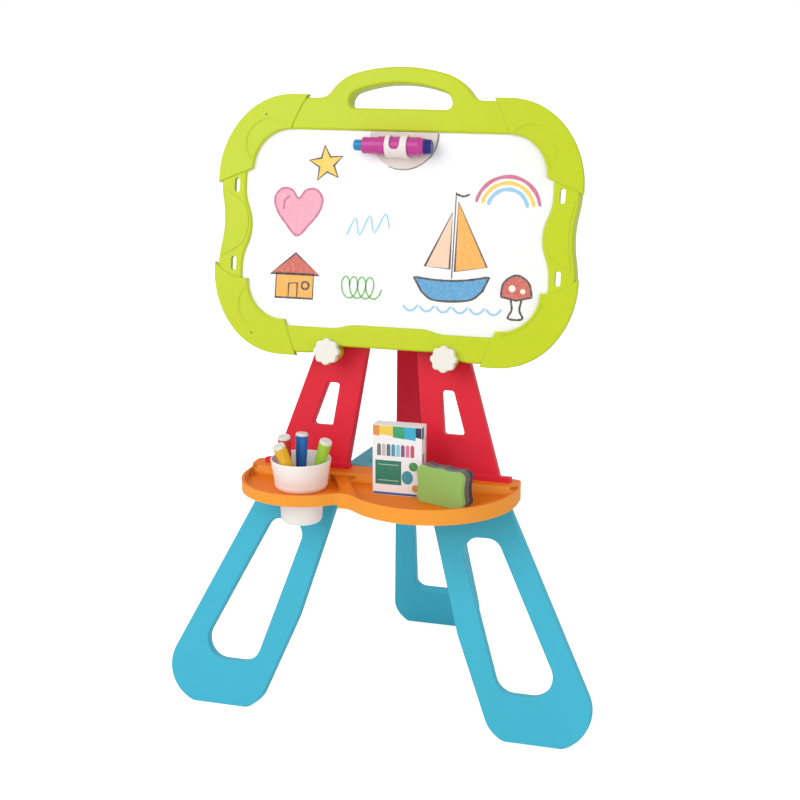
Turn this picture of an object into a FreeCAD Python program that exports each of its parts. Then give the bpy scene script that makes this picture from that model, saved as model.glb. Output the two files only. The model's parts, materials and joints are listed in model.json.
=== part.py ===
import FreeCAD, Part
import math
import os
import re

from FreeCAD import Placement, Rotation, Vector

# Kids easel: a carry-handle drawing board on two leaning uprights, with flared front legs,
# a folding rear leg, a two-lobed accessory tray and the drawing things that live on it.
#
# Millimetres and degrees. +Z is up, +X is the user's right, the user stands at -Y.
# Flat parts of the front frame are drawn in its own plane: x runs across, y runs up the slope
# from the front edge of the soles, and z stands out of the plane towards the user.
# The rear leg has a plane of its own in the same way, with its front face at z = 0.

SIZES = (
    # stance
    ("front_lean", 11.4, "front frame leans back from upright"),
    ("rear_lean", 18.95, "rear leg leans forward from upright"),
    ("rear_spread", 335, "rear sole behind the front soles"),
    ("plate_thickness", 14, "uprights and legs"),
    ("wall", 3, "wall of the open-backed mouldings"),
    # front legs
    ("leg_reach_top", 158.5, "outer edge at the tray"),
    ("leg_reach_sole", 320, "outer edge carried down to the sole"),
    ("leg_gap_top", 54, "inner edge at the tray"),
    ("leg_gap_bend", 110, "inner edge at the bend"),
    ("leg_gap_sole", 161.7, "inner edge carried down to the sole"),
    ("leg_bend_up", 129, "height of the bend along the slope"),
    ("foot_outer_round", 52, "outer corner of the foot"),
    ("sole_trim", 2.8, "taken off below the sole"),
    ("foot_inner_round", 45, "inner corner of the foot"),
    ("leg_outer_rail", 35.5, "width of the outer rail"),
    ("leg_inner_rail", 31, "width of the inner rail"),
    ("leg_slot_low", 59.5, "bottom of the opening"),
    ("leg_slot_high", 259, "top of the opening"),
    ("leg_slot_round_low", 27, "lower corners of the opening"),
    ("leg_slot_round_high", 20, "upper corners of the opening"),
    # plug joints at the tray
    ("plug_length", 26, "plug above the leg's shoulder"),
    ("plug_thickness", 7, "plug across the plate"),
    ("plug_gap", 0.25, "clearance round a plug"),
    ("plug_margin", 20, "shoulder beside the plug"),
    # uprights
    ("upright_taper_in", 0.121, "inner edge, across per length"),
    ("upright_taper_out", 0.327, "outer edge, across per length"),
    ("upright_inner_rail", 30, "inner rail"),
    ("upright_outer_rail", 32, "outer rail"),
    ("upright_slot_low", 390, "bottom of the window"),
    ("upright_slot_high", 447, "top of the window"),
    ("flange_height", 9, "base flange"),
    ("flange_reach", 10, "base flange beyond the plate"),
    ("flange_stand", 2, "base flange in front of the plate"),
    # rear leg
    ("rear_half_sole", 69, "half width at the sole"),
    ("rear_taper", 0.101, "half width lost per length"),
    ("rear_half_top", 13, "half width at the hinge"),
    ("rear_round", 42, "corners of the foot"),
    ("rear_slot_half_low", 29, "half width of the opening at its bottom"),
    ("rear_slot_half_high", 17, "half width of the opening at its top"),
    ("rear_slot_low", 64, "bottom of the opening"),
    ("rear_slot_high", 265, "top of the opening"),
    # hinge of the rear leg
    ("pin_radius", 4, "hinge pin and thumb screws"),
    ("pin_gap", 0.05, "running clearance on the radius"),
    ("hinge_reach", 58, "outer end of the hinge bosses"),
    ("cap_thickness", 4, "push-on cap"),
    # tray
    ("tray_rim", 326, "height of the rim"),
    ("tray_platform", 330, "height of the back platform"),
    ("tray_floor", 318, "height of the well floors"),
    ("tray_wall", 4, "rim and skirt"),
    ("tray_skin", 3, "floor"),
    ("platform_skin", 6, "platform"),
    ("skirt_right", 306, "bottom of the skirt, right lobe"),
    ("skirt_left", 311, "bottom of the skirt, left lobe"),
    ("left_lobe_x", -99, "centre of the left lobe"),
    ("left_lobe_y", 19, "centre of the left lobe"),
    ("left_lobe", 84, "radius of the left lobe"),
    ("right_lobe_x", 64, "centre of the right lobe"),
    ("right_lobe_y", 42, "centre of the right lobe"),
    ("right_lobe", 116.5, "radius of the right lobe"),
    ("notch", 22, "radius between the lobes"),
    ("tray_back", 70, "back edge"),
    ("platform_front", 36, "front edge of the platform"),
    ("ridge", 18, "ridge between the wells"),
    ("ridge_x", -39, "middle of the ridge"),
    ("ridge_slope", 0.5, "ridge runs to the left towards the back"),
    # cup
    ("cup_x", -97, "centre of the cup"),
    ("cup_y", -4, "centre of the cup"),
    ("cup_rim", 39.5, "radius at the rim"),
    ("cup_bowl", 34.5, "radius at the foot of the bowl"),
    ("cup_stem", 29.5, "radius below the tray"),
    ("cup_base", 27, "radius at the base"),
    ("cup_height", 39.5, "rim above the well floor"),
    ("cup_drop", 46, "base below the well floor"),
    ("cup_wall", 2, "wall of the cup"),
    ("cup_gap", 0.7, "clearance in the tray"),
    # stay
    ("stay_back", 10, "pivot behind the tray"),
    ("stay_drop", 6, "pivot below the platform"),
    ("stay_thickness", 8, "plate of the stay"),
    ("stay_bridge", 15, "closed end of the fork"),
    ("stay_half_root", 61.5, "half width at the pivot"),
    ("stay_half_tip", 47, "half width at the tip"),
    ("fork_gap", 2, "fork beside the rear leg"),
    ("nose_reach", 4.5, "snap noses behind the rear leg"),
    ("stay_pin", 2.5, "radius of the pivot pin"),
    ("lug_thickness", 6, "lugs on the tray"),
    # board
    ("board_half", 244, "half width over the corner pads"),
    ("pad_step", 4, "bars lie inside the pads by this"),
    ("waist", 6, "how far the side bars draw in"),
    ("board_low", 481, "lower edge along the slope"),
    ("board_high", 822.5, "upper edge along the slope"),
    ("corner_wide", 99, "corner curve across"),
    ("corner_tall", 110, "corner curve along the slope"),
    ("pad_skirt", 8, "corner pads run down the sides past the corner curve by this"),
    ("seam_reach", 21, "corner pads run past the corner curve by this"),
    ("low_rise", 11, "lower edge rises in the middle"),
    ("side_bar", 34, "side bars"),
    ("top_bar", 41.5, "top bar"),
    ("low_bar", 34.5, "bottom bar"),
    ("window_round", 60, "corner curve of the window"),
    ("window_waist", 11, "side bars bulge into the window"),
    ("window_rise", 5.5, "bottom bar bulges into the window"),
    ("pad_cover", 9, "pads reach into the window"),
    ("handle_rise", 41.5, "handle above the top bar"),
    ("handle_shoulder", 48, "handle ends before the corner curve by this"),
    ("handle_band", 21, "grip of the handle"),
    ("grip_side", 28, "handle beside the grip hole"),
    ("grip_drop", 12.5, "grip hole below the top of the bar"),
    ("seat_gap", 0.2, "board to uprights"),
    ("back_depth", 18, "back moulding"),
    ("front_depth", 8, "front moulding"),
    ("pad_rise", 2, "pads above the bars"),
    ("leaf_rise", 1, "leaf on each side bar"),
    ("bar_round", 3.2, "edges of the bars"),
    ("pad_round", 1.7, "edges of the pads"),
    ("slot_half", 3.7, "oblong slots across"),
    ("slot_reach", 9.5, "oblong slots along"),
    ("panel_thickness", 4, "writing panel"),
    ("panel_lap", 6, "panel under the bars"),
    ("panel_gap", 0.3, "clearance round the panel"),
    # thumb screws
    ("knob_x", 79, "thumb screws from the middle"),
    ("knob_up", 488.5, "thumb screws along the slope"),
    ("knob_radius", 17.5, "over the lobes"),
    ("knob_thickness", 11, "head"),
    ("lug_radius", 13, "lug of the frame behind the head"),
    ("nut_flats", 13, "nut across flats"),
    ("nut_thickness", 6.5, "nut"),
    # marker clip and its marker
    ("clip_x", 4, "centre of the plate"),
    ("clip_radius", 44, "half-disc plate"),
    ("clip_plate", 2.4, "thickness of the plate"),
    ("clip_drop", 20, "marker below the top bar"),
    ("jaw_wall", 2.5, "jaws"),
    ("marker_radius", 11.9, "clip marker"),
    # markers in the cup
    ("pen_length", 112, "marker without its end plug"),
    ("pen_barrel", 6.2, "radius of the barrel"),
    ("pen_cap", 8.6, "radius of the cap"),
    ("pen_cap_length", 40, "cap"),
    ("pen_plug", 4, "end plug"),
    # carton and eraser
    ("carton_wide", 65, "crayon carton"),
    ("carton_deep", 22, "crayon carton"),
    ("carton_tall", 92, "crayon carton"),
    ("carton_y", -3, "front of the carton"),
    ("eraser_long", 71, "board eraser"),
    ("eraser_tall", 48, "board eraser"),
    ("eraser_yaw", -20, "board eraser turned to the user's right"),
)

# Sizes that follow from the others.
FOLLOWING = (
    ("across_front",
     "rear_spread + plate_thickness / 2 * (cos(rear_lean * 1 deg) + cos(front_lean * 1 deg))"),
    ("across_level", "plate_thickness / 2 * (sin(rear_lean * 1 deg) - sin(front_lean * 1 deg))"),
    ("hinge_up", "(across_front * cos(rear_lean * 1 deg) + across_level * sin(rear_lean * 1 deg))"
                 " / sin((front_lean + rear_lean) * 1 deg)"),
    ("rear_hinge_up", "(across_front * cos(front_lean * 1 deg) - across_level * sin(front_lean * 1 deg))"
                      " / sin((front_lean + rear_lean) * 1 deg)"),
    ("rear_back", "rear_spread + plate_thickness / cos(rear_lean * 1 deg)"),
    ("tray_front", "right_lobe_y - right_lobe"),
    ("middle", "(rear_back + tray_front) / 2"),
    ("shoulder", "tray_platform - platform_skin"),
    ("stay_y", "tray_back + stay_back"),
    ("stay_z", "tray_platform - stay_drop"),
    ("board_back", "plate_thickness + seat_gap"),
    ("split", "board_back + back_depth"),
    ("panel_face", "split + panel_thickness"),
    ("bar_face", "split + front_depth"),
    ("pad_face", "bar_face + pad_rise"),
    ("bar_half", "board_half - pad_step"),
    ("bar_low", "board_low + pad_step"),
    ("bar_high", "board_high - pad_step"),
    ("window_half", "bar_half - side_bar"),
    ("window_high", "bar_high - top_bar"),
    ("window_low", "bar_low + low_bar"),
    ("corner_x", "board_half - corner_wide"),
    ("seam", "corner_x - seam_reach"),
    ("handle_half", "corner_x - handle_shoulder"),
    ("grip_half", "handle_half - grip_side"),
    ("corner_high", "board_high - corner_tall"),
    ("corner_low", "board_low + corner_tall"),
    ("handle_high", "bar_high + handle_rise"),
    ("grip_low", "bar_high - grip_drop"),
    ("marker_up", "window_high - clip_drop"),
    ("marker_out", "panel_face + clip_plate + 1 + marker_radius"),
)

doc = FreeCAD.newDocument("KidsEasel")
sheet = doc.addObject("Spreadsheet::Sheet", "Sizes")
ALIASES = [row[0] for row in SIZES + FOLLOWING]


def fill_sheet():
    """Write the driving sizes and the ones that follow from them."""
    row = 0
    for name, value, note in SIZES:
        row += 1
        sheet.set("A%d" % row, name)
        sheet.set("B%d" % row, str(value))
        sheet.setAlias("B%d" % row, name)
        sheet.set("C%d" % row, note)
    for name, formula in FOLLOWING:
        row += 1
        sheet.set("A%d" % row, name)
        sheet.set("B%d" % row, "=" + formula)
        sheet.setAlias("B%d" % row, name)
    doc.recompute()


class Sizes:
    """Reads a size from the sheet: d.wall is the cell called wall."""

    def __getattr__(self, name):
        return float(sheet.get(name))


d = Sizes()


def bound(text):
    """An expression in which each size's name points at its cell."""
    def cell(match):
        word = match.group()
        return "Sizes." + word if word in ALIASES else word

    return re.sub(r"[A-Za-z_]+", cell, str(text))


# ---------------------------------------------------------------- curves


def flat(x, y):
    return Vector(x, y, 0)


def rounded(corners):
    """A closed outline through (x, y, radius) corners, each rounded by its radius."""
    points = [flat(c[0], c[1]) for c in corners]
    count = len(corners)
    legs = []
    for i, corner in enumerate(corners):
        here = points[i]
        back = (points[i - 1] - here).normalize()
        ahead = (points[(i + 1) % count] - here).normalize()
        radius = corner[2]
        if radius <= 0:
            legs.append((here, None, here))
            continue
        half = back.getAngle(ahead) / 2
        reach = radius / math.tan(half)
        middle = (back + ahead).normalize()
        deep = here + middle * (radius / math.sin(half) - radius)
        legs.append((here + back * reach, deep, here + ahead * reach))
    curves = []
    for i, (enter, deep, leave) in enumerate(legs):
        if deep is not None:
            curves.append(Part.Arc(enter, deep, leave))
        following = legs[(i + 1) % count][0]
        if (following - leave).Length > 1e-6:
            curves.append(Part.LineSegment(leave, following))
    return curves


def turned_area(corners):
    total = 0
    for i, corner in enumerate(corners):
        after = corners[(i + 1) % len(corners)]
        total += corner[0] * after[1] - after[0] * corner[1]
    return total / 2


def shrunk(corners, gap):
    """The same corners with every side moved inwards by gap, or outwards when gap is negative."""
    if turned_area(corners) < 0:
        corners = corners[::-1]
    count = len(corners)
    sides = []
    for i, corner in enumerate(corners):
        after = corners[(i + 1) % count]
        along = flat(after[0] - corner[0], after[1] - corner[1]).normalize()
        inward = flat(-along.y, along.x)
        sides.append((flat(corner[0], corner[1]) + inward * gap, along))
    moved = []
    for i, corner in enumerate(corners):
        start, along = sides[i - 1]
        point, after = sides[i]
        cross = along.x * after.y - along.y * after.x
        offset = point - start
        reach = (offset.x * after.y - offset.y * after.x) / cross
        meet = start + along * reach
        radius = corner[2] - gap if cross > 0 else corner[2] + gap
        moved.append((meet.x, meet.y, max(radius, 1) if corner[2] > 0 else 0))
    return moved


def tangent_arc(start, direction, end):
    """The arc that leaves start along direction and arrives at end, with its end direction."""
    chord = end - start
    normal = flat(-direction.y, direction.x)
    across = normal.dot(chord)
    if abs(across) < 1e-6:
        return Part.LineSegment(start, end), direction
    radius = chord.Length ** 2 / (2 * across)
    centre = start + normal * radius
    middle = centre + ((start + end) * 0.5 - centre).normalize() * abs(radius)
    spoke = (end - centre) * (1 / radius)
    return Part.Arc(start, middle, end), flat(-spoke.y, spoke.x)


def chain(start, steps, side=1):
    """Curves from start through steps, mirrored to the other side when side is -1.

    A step is (x, y) for a line, ((x, y), (x, y)) for an arc through a point to an end, or
    ("flow", (dx, dy), (x, y), ...) for arcs that leave along a direction and join smoothly.
    """
    place = flat(start[0] * side, start[1])
    curves = []
    for step in steps:
        if step[0] == "flow":
            heading = flat(step[1][0] * side, step[1][1])
            for x, y in step[2:]:
                end = flat(x * side, y)
                curve, heading = tangent_arc(place, heading, end)
                curves.append(curve)
                place = end
        elif isinstance(step[0], tuple):
            end = flat(step[1][0] * side, step[1][1])
            curves.append(Part.Arc(place, flat(step[0][0] * side, step[0][1]), end))
            place = end
        else:
            end = flat(step[0] * side, step[1])
            if (end - place).Length > 1e-6:
                curves.append(Part.LineSegment(place, end))
                place = end
    return curves


def both_sides(start, steps):
    return chain(start, steps) + chain(start, steps, -1)


def quarter(centre, wide, tall, first, last):
    """Two smooth arcs that stand for a quarter of an ellipse, from angle first to angle last."""
    begin, finish = math.radians(first), math.radians(last)
    out = (math.cos(begin), math.sin(begin))
    on = (math.cos(finish), math.sin(finish))
    long, short = (wide, tall) if abs(out[0]) > 0.5 else (tall, wide)
    swing = math.atan2(long, short)
    sine, cosine = math.sin(swing), math.cos(swing)
    one = (short * cosine - long * (1 - sine)) / (sine + cosine - 1)
    two = (long * sine - short * (1 - cosine)) / (sine + cosine - 1)

    def turn(radius, reach_out, reach_on, angle):
        along_out = reach_out + radius * math.cos(angle)
        along_on = reach_on + radius * math.sin(angle)
        return (centre[0] + out[0] * along_out + on[0] * along_on,
                centre[1] + out[1] * along_out + on[1] * along_on)

    right = math.pi / 2
    return [(turn(one, long - one, 0, swing / 2), turn(one, long - one, 0, swing)),
            (turn(two, 0, short - two, (swing + right) / 2), turn(two, 0, short - two, right))]


def ring(x, y, radius):
    return [Part.Circle(flat(x, y), Vector(0, 0, 1), radius)]


def box_outline(low_x, low_y, high_x, high_y, radius=0):
    return rounded([(low_x, low_y, radius), (high_x, low_y, radius),
                    (high_x, high_y, radius), (low_x, high_y, radius)])


def side_box(side, near, far, low, high, radius=0):
    """Box on one side of the middle, between two distances from it."""
    left, right = sorted((near * side, far * side))
    return box_outline(left, low, right, high, radius)


# ---------------------------------------------------------------- bodies


def new_body(label):
    body = doc.addObject("PartDesign::Body", label)
    body.Label = label
    return body


def new_sketch(body, curves, plane, level):
    sketch = body.newObject("Sketcher::SketchObject", "Sketch")
    origin = [f for f in body.Origin.OriginFeatures if f.Role == plane][0]
    sketch.AttachmentSupport = (origin, "")
    sketch.MapMode = "FlatFace"
    sketch.setExpression("AttachmentOffset.Base.z", bound(level))
    sketch.addGeometry(curves, False)
    return sketch


def slab(body, curves, low, high, plane="XY_Plane"):
    """Material between two levels, both given as expressions of the sheet."""
    pad = body.newObject("PartDesign::Pad", "Pad")
    pad.Profile = new_sketch(body, curves, plane, low)
    pad.setExpression("Length", bound("(%s) - (%s)" % (high, low)))
    pad.Refine = False
    return pad


def cut(body, curves, low, high, plane="XY_Plane"):
    """A cut between two levels, checked to take material away."""
    doc.recompute([body])
    before = body.Tip.Shape.Volume
    pocket = body.newObject("PartDesign::Pocket", "Pocket")
    pocket.Profile = new_sketch(body, curves, plane, low)
    pocket.Reversed = True
    pocket.Refine = False
    pocket.setExpression("Length", bound("(%s) - (%s)" % (high, low)))
    doc.recompute([body])
    if pocket.Shape.Volume > before - 1e-3:
        raise RuntimeError("a cut took nothing from " + body.Label)
    return pocket


def turned(body, curves):
    """A solid of revolution about the body's own Z axis, drawn as (radius, height)."""
    sketch = new_sketch(body, curves, "XZ_Plane", "0")
    revolution = body.newObject("PartDesign::Revolution", "Revolution")
    revolution.Profile = sketch
    revolution.ReferenceAxis = (sketch, ["V_Axis"])
    revolution.Angle = 360
    return revolution


def soften(body, radius, test):
    """Round the edges that the test picks."""
    doc.recompute([body])
    base = body.Tip
    names = ["Edge%d" % (i + 1) for i, edge in enumerate(base.Shape.Edges) if test(edge)]
    fillet = body.newObject("PartDesign::Fillet", "Fillet")
    fillet.Base = (base, names)
    fillet.setExpression("Radius", bound(radius))
    return fillet


def at_level(level, test=None):
    """Picks the edges that lie at one level of the body's own Z."""

    def pick(edge):
        box = edge.BoundBox
        if abs(box.ZMin - level) > 1e-4 or abs(box.ZMax - level) > 1e-4:
            return False
        return test is None or test(box)

    return pick


def in_front_plane(body):
    """Lay a body drawn in the front frame's plane into place."""
    body.Placement = Placement(Vector(0, -d.middle, 0), Rotation(Vector(1, 0, 0), 90 - d.front_lean))
    body.setExpression("Placement.Base.y", bound("-middle"))
    body.setExpression("Placement.Rotation.Angle", bound("(90 - front_lean) * 1 deg"))


def in_rear_plane(body):
    """Lay a body drawn in the rear leg's plane into place."""
    lean = Rotation(Vector(1, 0, 0), 90 + d.rear_lean)
    body.Placement = Placement(Vector(0, d.rear_spread - d.middle, 0), lean)
    body.setExpression("Placement.Base.y", bound("rear_spread - middle"))
    body.setExpression("Placement.Rotation.Angle", bound("(90 + rear_lean) * 1 deg"))


def standing_at(body, x, y, z):
    """Stand a body that is drawn upright at a place given as expressions."""
    body.setExpression("Placement.Base.x", bound(x))
    body.setExpression("Placement.Base.y", bound("(%s) - middle" % y))
    body.setExpression("Placement.Base.z", bound(z))


def front_point(x, up, out):
    """A point of the front frame's plane in the easel's own frame."""
    lean = math.radians(d.front_lean)
    return Vector(x, up * math.sin(lean) - out * math.cos(lean) - d.middle,
                  up * math.cos(lean) + out * math.sin(lean))


# ---------------------------------------------------------------- legs and uprights

REACH = "400"


def level_cut(body, lean, height, out_low, out_high, above):
    """Trim a leaning plate at a height above the floor, on the side that goes."""
    angle = math.radians(lean)

    def along(out):
        return (height - out * math.sin(angle)) / math.cos(angle)

    low, high = out_low - 2, out_high + 2
    far = 60 if above else -60
    corners = [(along(low), low, 0), (along(high), high, 0),
               (along(high) + far, high, 0), (along(low) + far, low, 0)]
    return cut(body, rounded(corners), "-" + REACH, REACH, "YZ_Plane")


def leg_outer(up):
    slope = (d.leg_reach_sole - d.leg_reach_top) / d.shoulder
    return d.leg_reach_sole - slope * up


def leg_inner(up):
    if up > d.leg_bend_up:
        slope = (d.leg_gap_bend - d.leg_gap_top) / (d.shoulder - d.leg_bend_up)
        return d.leg_gap_bend - slope * (up - d.leg_bend_up)
    slope = (d.leg_gap_sole - d.leg_gap_bend) / d.leg_bend_up
    return d.leg_gap_sole - slope * up


def sided(corners, side):
    return [(x * side, y, r) for x, y, r in corners]


def leg_outline(low, high):
    return [(leg_outer(high), high, 0), (leg_outer(low), low, d.foot_outer_round),
            (leg_inner(low), low, d.foot_inner_round), (d.leg_gap_bend, d.leg_bend_up, 120),
            (leg_inner(high), high, 0)]


def leg_slot():
    low, high = d.leg_slot_low, d.leg_slot_high

    def outer(up):
        return leg_outer(up) - d.leg_outer_rail

    def inner(up):
        return leg_inner(high) + d.leg_inner_rail + (high - up) * leg_slot_slope()

    return [(outer(high), high, d.leg_slot_round_high), (outer(low), low, d.leg_slot_round_low),
            (inner(low), low, d.leg_slot_round_low), (inner(high), high, d.leg_slot_round_high)]


def leg_slot_slope():
    return (leg_inner(d.leg_slot_low) - leg_inner(d.leg_slot_high)) / (d.leg_slot_high - d.leg_slot_low)


def plug_span():
    """Where the plug stands on the shoulder, across the plate."""
    return leg_inner(d.shoulder) + d.plug_margin, leg_outer(d.shoulder) - d.plug_margin


def front_leg(label, side):
    """Blue front leg: open-backed plate with a long opening, a rounded foot and a plug on top."""
    body = new_body(label)
    below = -d.plate_thickness * math.tan(math.radians(d.front_lean)) - d.sole_trim
    slab(body, rounded(sided(leg_outline(below, d.shoulder + 10), side)), "0", "plate_thickness")
    slot = sided(leg_slot(), side)
    cut(body, rounded(slot), "0", "plate_thickness")
    hollow = shrunk(sided(leg_outline(0, d.shoulder - 14), side), d.wall)
    cut(body, rounded(hollow) + rounded(shrunk(slot, -d.wall)), "0", "plate_thickness - wall")
    for up in (0.25, 0.5, 0.75):
        middle = d.leg_slot_low + up * (d.leg_slot_high - d.leg_slot_low)
        for inner, outer in ((leg_inner(middle) + 1, leg_inner(middle) + d.leg_inner_rail - 1),
                             (leg_outer(middle) - d.leg_outer_rail + 1, leg_outer(middle) - 1)):
            rib = side_box(side, inner, outer, middle - 1.2, middle + 1.2)
            slab(body, rib, "wall", "plate_thickness - wall + 1")
    level_cut(body, d.front_lean, 0, 0, d.plate_thickness, False)
    level_cut(body, d.front_lean, d.shoulder, 0, d.plate_thickness, True)
    inner, outer = plug_span()
    plug_low = d.shoulder - 8
    plug = side_box(side, inner, outer, plug_low, d.shoulder + d.plug_length, 2)
    slab(body, plug, "(plate_thickness - plug_thickness) / 2", "(plate_thickness + plug_thickness) / 2")
    soften(body, "2", at_level(d.plate_thickness, lambda box: 1 < box.YMin < d.shoulder - 20))
    in_front_plane(body)
    return body


def upright_inner(up):
    return leg_inner(d.shoulder) - d.upright_taper_in * (up - d.shoulder)


def upright_outer(up):
    return leg_outer(d.shoulder) - d.upright_taper_out * (up - d.shoulder)


def upright(label, side):
    """Red upright: tapered open-backed plate with a window, base flange, socket and hinge boss."""
    body = new_body(label)
    low = d.tray_platform - 12
    edge = [(upright_outer(low), low, 0), (upright_outer(d.hinge_up), d.hinge_up, 0),
            (upright_inner(d.hinge_up), d.hinge_up, 0), (upright_inner(low), low, 0)]
    slab(body, rounded(sided(edge, side)), "0", "plate_thickness")
    slot_low, slot_high = d.upright_slot_low, d.upright_slot_high
    window = [(upright_outer(slot_low) - d.upright_outer_rail, slot_low, 4),
              (upright_outer(slot_high) - d.upright_outer_rail, slot_high, 4),
              (upright_inner(slot_high) + d.upright_inner_rail, slot_high, 4),
              (upright_inner(slot_low) + d.upright_inner_rail, slot_low, 4)]
    window = sided(window, side)
    cut(body, rounded(window), "0", "plate_thickness")
    socket_high = d.shoulder + d.plug_length + d.plug_gap
    block_high = socket_high + 2 * d.wall
    hollow_high = d.hinge_up - d.plate_thickness
    hollow = [(upright_outer(block_high), block_high, 2), (upright_outer(hollow_high), hollow_high, 2),
              (upright_inner(hollow_high), hollow_high, 2), (upright_inner(block_high), block_high, 2)]
    cut(body, rounded(shrunk(sided(hollow, side), d.wall)) + rounded(shrunk(window, -d.wall)),
        "0", "plate_thickness - wall")
    slab(body, ring(d.knob_x * side, d.knob_up, d.nut_flats / 2 + 2 * d.wall), "0", "plate_thickness")
    for up in (d.knob_up + 45, d.knob_up + 90):
        rib = side_box(side, upright_inner(up) + 1, upright_outer(up) - 1, up - 1.2, up + 1.2)
        slab(body, rib, "wall", "plate_thickness - wall + 1")
    flange = [(upright_outer(low) + d.flange_reach, low, 0),
              (upright_outer(low) + d.flange_reach - 3, d.tray_platform + 2 + d.flange_height, 1.5),
              (upright_inner(low) - d.flange_reach / 2, d.tray_platform + 2 + d.flange_height, 1.5),
              (upright_inner(low) - d.flange_reach / 2, low, 0)]
    slab(body, rounded(sided(flange, side)), "0", "plate_thickness + flange_stand")
    level_cut(body, d.front_lean, d.tray_platform, 0, d.plate_thickness + d.flange_stand, False)
    inner, outer = plug_span()
    socket = side_box(side, inner - d.plug_gap, outer + d.plug_gap, low - 5, socket_high)
    cut(body, socket, "(plate_thickness - plug_thickness) / 2 - plug_gap",
        "(plate_thickness + plug_thickness) / 2 + plug_gap")
    soften(body, "1.5", at_level(d.plate_thickness, lambda box: d.tray_platform < box.YMin < d.hinge_up - 20))
    near, far = sorted((side * upright_inner(d.hinge_up), side * d.hinge_reach))
    middle = d.plate_thickness / 2
    slab(body, ring(d.hinge_up, middle, middle), str(near), str(far), "YZ_Plane")
    cut(body, ring(d.hinge_up, middle, d.pin_radius + d.pin_gap), str(near - 1), str(far + 1), "YZ_Plane")
    cut(body, ring(d.knob_x * side, d.knob_up, d.pin_radius + d.pin_gap), "0", "plate_thickness")
    cut(body, nut_outline(side, 0.1), "0", "nut_thickness + 0.5")
    in_front_plane(body)
    return body


def nut_outline(side, gap):
    across = (d.nut_flats / 2 + gap) / math.cos(math.pi / 6)
    corners = []
    for k in range(6):
        angle = math.pi / 3 * k
        corners.append((d.knob_x * side + across * math.cos(angle), d.knob_up + across * math.sin(angle), 0))
    return rounded(corners)


def knob_nut(label, side):
    """Captive nut of a thumb screw."""
    body = new_body(label)
    slab(body, nut_outline(side, 0), "0.5", "nut_thickness + 0.5")
    cut(body, ring(d.knob_x * side, d.knob_up, d.pin_radius + d.pin_gap), "0.5", "nut_thickness + 0.5")
    in_front_plane(body)
    return body


def rear_half(up):
    return max(d.rear_half_sole - d.rear_taper * up, d.rear_half_top)


def rear_shoulder():
    return d.tray_platform / math.cos(math.radians(d.rear_lean))


def rear_leg_lower():
    """Blue half of the rear leg: foot, opening and plug."""
    body = new_body("rear_leg_lower")
    high = rear_shoulder()
    below = -d.plate_thickness * math.tan(math.radians(d.rear_lean)) - d.sole_trim
    edge = [(rear_half(high), high, 0), (rear_half(below), below, d.rear_round),
            (-rear_half(below), below, d.rear_round), (-rear_half(high), high, 0)]
    slab(body, rounded(edge), "-plate_thickness", "0")
    low, top = d.rear_slot_low, d.rear_slot_high
    slot = [(d.rear_slot_half_high, top, 8), (d.rear_slot_half_low, low, 14),
            (-d.rear_slot_half_low, low, 14), (-d.rear_slot_half_high, top, 8)]
    cut(body, rounded(slot), "-plate_thickness", "0")
    hollow = [(rear_half(high - 20), high - 20, 2), (rear_half(0), 0, d.rear_round),
              (-rear_half(0), 0, d.rear_round), (-rear_half(high - 20), high - 20, 2)]
    cut(body, rounded(shrunk(hollow, d.wall)) + rounded(shrunk(slot, -d.wall)), "-plate_thickness", "-wall")
    for share in (0.25, 0.5, 0.75):
        up = low + share * (top - low)
        opening = d.rear_slot_half_low + share * (d.rear_slot_half_high - d.rear_slot_half_low)
        for side in (-1, 1):
            inner, outer = sorted(((opening + 1) * side, (rear_half(up) - 1) * side))
            rib = box_outline(inner, up - 1.2, outer, up + 1.2)
            slab(body, rib, "-plate_thickness + wall", "-wall + 1")
    level_cut(body, -d.rear_lean, 0, -d.plate_thickness, 0, False)
    half = rear_half(high) - d.plug_margin / 2
    slab(body, box_outline(-half, high - 8, half, high + d.plug_length - 6, 2),
         "-(plate_thickness + plug_thickness) / 2", "-(plate_thickness - plug_thickness) / 2")
    soften(body, "2", at_level(0, lambda box: box.YMin > 1 and box.YMax < high - 1))
    in_rear_plane(body)
    return body


def rear_leg_upper():
    """Red half of the rear leg: socket below, hinge barrel above."""
    body = new_body("rear_leg_upper")
    low, high = rear_shoulder(), d.rear_hinge_up
    narrow = (d.rear_half_sole - d.rear_half_top) / d.rear_taper
    edge = [(rear_half(low), low, 0), (d.rear_half_top, narrow, 0), (d.rear_half_top, high, 0),
            (-d.rear_half_top, high, 0), (-d.rear_half_top, narrow, 0), (-rear_half(low), low, 0)]
    slab(body, rounded(edge), "-plate_thickness", "0")
    block = low + d.plug_length + d.wall
    hollow = [(rear_half(block), block, 2), (d.rear_half_top, narrow, 0), (d.rear_half_top, high - 12, 2),
              (-d.rear_half_top, high - 12, 2), (-d.rear_half_top, narrow, 0), (-rear_half(block), block, 2)]
    cut(body, rounded(shrunk(hollow, d.wall)), "-plate_thickness", "-wall")
    for share in (0.3, 0.6):
        up = block + share * (high - block)
        reach = rear_half(up) - 1
        slab(body, box_outline(-reach, up - 1.2, reach, up + 1.2), "-plate_thickness + wall", "-wall + 1")
    half = rear_half(low) - d.plug_margin / 2 + d.plug_gap
    cut(body, box_outline(-half, low - 1, half, low + d.plug_length - 6 + d.plug_gap),
        "-(plate_thickness + plug_thickness) / 2 - plug_gap",
        "-(plate_thickness - plug_thickness) / 2 + plug_gap")
    middle = -d.plate_thickness / 2
    slab(body, ring(high, middle, d.plate_thickness / 2), "-rear_half_top", "rear_half_top", "YZ_Plane")
    cut(body, ring(high, middle, d.pin_radius + d.pin_gap), "-rear_half_top", "rear_half_top", "YZ_Plane")
    in_rear_plane(body)
    return body


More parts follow.
